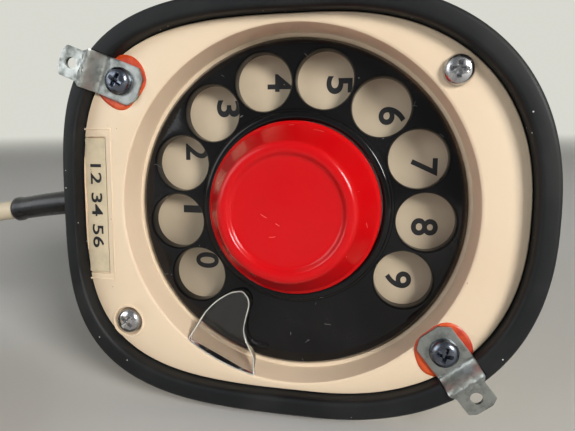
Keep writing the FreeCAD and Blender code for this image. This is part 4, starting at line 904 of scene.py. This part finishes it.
def waxPat(name, corner):
    phases = [random.uniform(0, 6.28) for _ in range(waxShape["waves"])]

    def edge(turn):
        waves = sum(math.sin(order * turn + phase) / order for order, phase in enumerate(phases, 2))
        return waxShape["radius"] + waxShape["uneven"] * waves

    loops = []
    for share, level in waxShape["rows"]:
        loop = []
        for turn in aroundTurn(waxShape["points"]):
            radius = edge(turn) * share
            lump = random.uniform(-waxShape["lump"], waxShape["lump"]) if share < 1 else 0.0
            loop.append(Vector((radius * math.cos(turn), radius * math.sin(turn), level + lump)))
        loops.append(loop)
    return settle(skinned(name, loops), turnPlace(*corner[:2]))


wax = joined(waxPat("sealingWax", corners["frontBracket"]),
             waxPat("otherWax", corners["rearBracket"]))
dress(wax, "body", paint["sealWax"], ["sealing_wax"], 60)
print("wax made")

# The rubber sleeve round the cord where it leaves the shell, sagging towards its tip.
sleeveShape = {"root": (-51.7, 0.0, 13.0), "sunk": 2.0, "sag": 0.5, "collar": 5.0, "neck": 3.5,
               "radius": 3.3, "tipRadius": 2.95, "rows": 26, "rowsEnd": 0.94, "points": 48,
               "tip": ((0.95, 3.25), (0.985, 3.25), (1.0, 2.95), (1.0, 2.45))}


def sleeveLoops():
    root, tip = Vector(sleeveShape["root"]), Vector(cordLine["sleeveTip"])
    length = (tip - root).length
    way = (tip - root).normalized()
    side = Vector((0, 0, 1)).cross(way).normalized()
    stations = [(-sleeveShape["sunk"] / length, sleeveShape["collar"]),
                (0.0, sleeveShape["collar"]), (0.01, sleeveShape["neck"])]
    for row in range(1, sleeveShape["rows"]):
        share = row / sleeveShape["rows"]
        radius = sleeveShape["radius"] + (sleeveShape["tipRadius"] - sleeveShape["radius"]) * share
        stations.append((share * sleeveShape["rowsEnd"], radius))
    loops = []
    for share, radius in stations + list(sleeveShape["tip"]):
        sag = side * sleeveShape["sag"] * math.sin(math.pi * share)
        middle = root + way * share * length + sag
        loops.append(hoop(middle, side, way.cross(side), radius, sleeveShape["points"]))
    return loops


sleeve = skinned("cordSleeve", sleeveLoops())
dress(sleeve, "body", paint["sleeveBlack"], ["cord_sleeve"], 50)
print("sleeve made")

# The plug on the coil, with a ribbed grip and three round pins.
plugShape = {
    "start": (-104.0, -174.5, 19.0), "points": 48, "neck": ((0.0, 2.6), (0.0, 3.0)),
    "ribs": 4, "ribStart": 0.9, "ribPitch": 2.1,
    "rib": ((0.0, 3.1), (0.25, 3.45), (1.15, 3.5), (1.4, 3.15)),
    "halfWidth": 6.0, "halfHeight": 4.0, "leastHeight": 2.9, "end": 26.0,
    "body": ((9.4, 2.6, 2.2), (10.4, 0.9, 2.8), (11.6, 0.25, 3.6), (13.0, 0.0, 4.2),
             (24.8, 0.0, 4.2), (25.6, 0.15, 4.2), (26.0, 0.6, 4.2)),
    "pin": ((0.0, 0.0), (1.2, 0.0), (1.2, 8.2), (1.05, 8.7), (0.7, 9.0), (0.0, 9.0)),
    "pinPitch": 3.6,
}


# An oval section of the plug, squarer the higher its power.
def plugLoop(along, halfWidth, halfHeight, power=2.0):
    start = Vector(plugShape["start"])
    loop = []
    for turn in aroundTurn(plugShape["points"]):
        wide, high = math.cos(turn), math.sin(turn)
        reach = (abs(wide / halfWidth) ** power + abs(high / halfHeight) ** power) ** (-1 / power)
        loop.append(start + Vector((along, reach * wide, reach * high)))
    return loop


plugLoops = [plugLoop(along, radius, radius) for along, radius in plugShape["neck"]]
for rib in range(plugShape["ribs"]):
    begin = plugShape["ribStart"] + plugShape["ribPitch"] * rib
    plugLoops += [plugLoop(begin + along, radius, radius) for along, radius in plugShape["rib"]]
for along, trim, power in plugShape["body"]:
    high = max(plugShape["halfHeight"] - trim, plugShape["leastHeight"])
    plugLoops.append(plugLoop(along, plugShape["halfWidth"] - trim, high, power))
plug = skinned("linePlug", plugLoops)
dress(plug, "body", paint["cordIvory"], ["line_plug"], 35, laid=False)
pins = []
for step in (-1, 0, 1):
    spot = Vector(plugShape["start"]) + Vector((plugShape["end"], step * plugShape["pinPitch"], 0))
    place = Matrix.Translation(spot * mm) @ Matrix.Rotation(math.pi / 2, 4, "Y")
    pins.append(settle(turned("plugPin", plugShape["pin"], 32, False), place))
plugPins = joined(*pins)
plugPins.name = "plugPins"
dress(plugPins, "body", paint["brass"], ["plug_pins"], 35, laid=False)

lineCord.data.materials.append(paint["cordIvory"])
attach(lineCord, "body")
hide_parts("line_cord", "cord_coil")
print("cord and plug made")

# The inner parts keep the frame's shapes and take a finish each.
innerFinish = {
    "platedSheet": ["dial_frame", "dial_bridge", "governor_bracket", "lever_bracket", "chassis",
                    "capacitor_clip", "transmitter_cradle", "wheel_hub"],
    "brass": ["main_gear", "dial_screws", "pulse_shaft", "terminal_screws", "governor_weights"],
    "springSteel": ["mainspring", "button_spring", "governor_shaft", "plunger_clip", "lever_pin",
                    "hook_lever", "dial_shaft", "pulse_contacts", "hook_contacts"],
    "phenolic": ["terminal_block", "governor_drum", "cord_clamp", "button_plunger"],
    "winding": ["coil_winding"],
    "laminations": ["coil_core"],
    "capsule": ["transmitter", "receiver", "capacitor"],
    "rubber": ["transmitter_gasket", "receiver_gasket"],
    "basePlate": ["receiver_cup"],
    "cordIvory": ["receiver_leads"],
}
for finishName, names in innerFinish.items():
    for inner in [frame["nodes"][name] for name in names]:
        if not inner.material_slots:
            inner.data.materials.append(paint[finishName])
        for holder in inner.material_slots:
            holder.material = paint[finishName]
print("inner parts finished")

# A pale floor with pale walls far off round it, soft lamps and an even surround. A wall has its
# direction and its tilt about X and Y.
studio = {
    "floorHalf": 3.0, "wallOff": 2.9, "fade": (0.6, 2.0),
    "floorColor": (0.60, 0.59, 0.57), "floorRough": 0.6,
    "wallColor": (0.69, 0.69, 0.63), "wallRough": 0.8, "gloss": 0.1,
    "surround": (0.80, 0.82, 0.85), "surroundPower": 0.27,
    "walls": {"backWall": ((0, 1), (90, 0)), "leftWall": ((-1, 0), (0, 90)),
              "rightWall": ((1, 0), (0, -90)), "frontWall": ((0, -1), (-90, 0))},
    "lamps": {
        "keyLamp": {"place": (0.98, -1.06, 0.66), "aim": (0.0, -0.1, 0.05), "size": 0.42,
                    "power": 22.0, "color": (1.0, 0.975, 0.94)},
        "fillLamp": {"place": (-0.8, -0.8, 0.45), "aim": (0.0, -0.05, 0.05), "size": 0.7,
                     "power": 4.0, "color": (0.94, 0.97, 1.0)},
    },
}


# To the camera, in mirrors and through clear parts, the walls have their plain colour, and so has
# the floor from where it fades. Elsewhere floor and walls take light and shadow.
def stagePaint(name, color, rough, fade=None):
    material = bpy.data.materials.new(name)
    material.use_nodes = True
    tree = material.node_tree
    shader = tree.nodes["Principled BSDF"]
    for label, value in (("Base Color", (*color, 1)), ("Roughness", rough),
                         ("Specular IOR Level", studio["gloss"])):
        shader.inputs[label].default_value = value
    path = addNode(tree, "ShaderNodeLightPath").outputs
    seen = maths(tree, "MAXIMUM", path["Is Camera Ray"], path["Is Glossy Ray"])
    seen = maths(tree, "MAXIMUM", seen, path["Is Transmission Ray"])
    if fade:
        where = addNode(tree, "ShaderNodeTexCoord").outputs["Object"]
        off = addNode(tree, "ShaderNodeVectorMath", {0: where}, operation="LENGTH")
        seen = maths(tree, "MULTIPLY", seen, spread(tree, off.outputs["Value"], *fade))
    glow = addNode(tree, "ShaderNodeEmission", {"Color": (*studio["wallColor"], 1)})
    shown = addNode(tree, "ShaderNodeMixShader",
                    {0: seen, 1: shader.outputs[0], 2: glow.outputs[0]})
    feed(tree, tree.nodes["Material Output"], "Surface", shown.outputs[0])
    return material


def stagePlane(name, place, turn, cover):
    letGo()
    bpy.ops.mesh.primitive_plane_add(size=2 * studio["floorHalf"], location=place, rotation=turn)
    plane = bpy.context.object
    plane.name = name
    plane.data.materials.append(cover)
    return plane


floorPaint = stagePaint("floorPaint", studio["floorColor"], studio["floorRough"], studio["fade"])
wallPaint = stagePaint("wallPaint", studio["wallColor"], studio["wallRough"])
stagePlane("floor", (0, 0, 0), (0, 0, 0), floorPaint)
for name, (way, tilt) in studio["walls"].items():
    place = (way[0] * studio["wallOff"], way[1] * studio["wallOff"], studio["floorHalf"])
    turn = (math.radians(tilt[0]), math.radians(tilt[1]), 0)
    wall = stagePlane(name, place, turn, wallPaint)
# The front wall is there for views from behind, and takes no light from the surround.
wall.visible_diffuse = wall.visible_glossy = False
wall.visible_transmission = wall.visible_shadow = False
for name, lamp in studio["lamps"].items():
    data = bpy.data.lights.new(name, "AREA")
    data.energy = lamp["power"]
    data.size = lamp["size"]
    data.color = lamp["color"]
    holder = bpy.data.objects.new(name, data)
    bpy.context.scene.collection.objects.link(holder)
    holder.location = lamp["place"]
    aim = Vector(lamp["aim"]) - Vector(lamp["place"])
    holder.rotation_euler = aim.to_track_quat("-Z", "Y").to_euler()
world = bpy.data.worlds.new("surround")
bpy.context.scene.world = world
world.use_nodes = True
background = world.node_tree.nodes["Background"]
background.inputs["Color"].default_value = (*studio["surround"], 1)
background.inputs["Strength"].default_value = studio["surroundPower"]
print("studio lit")
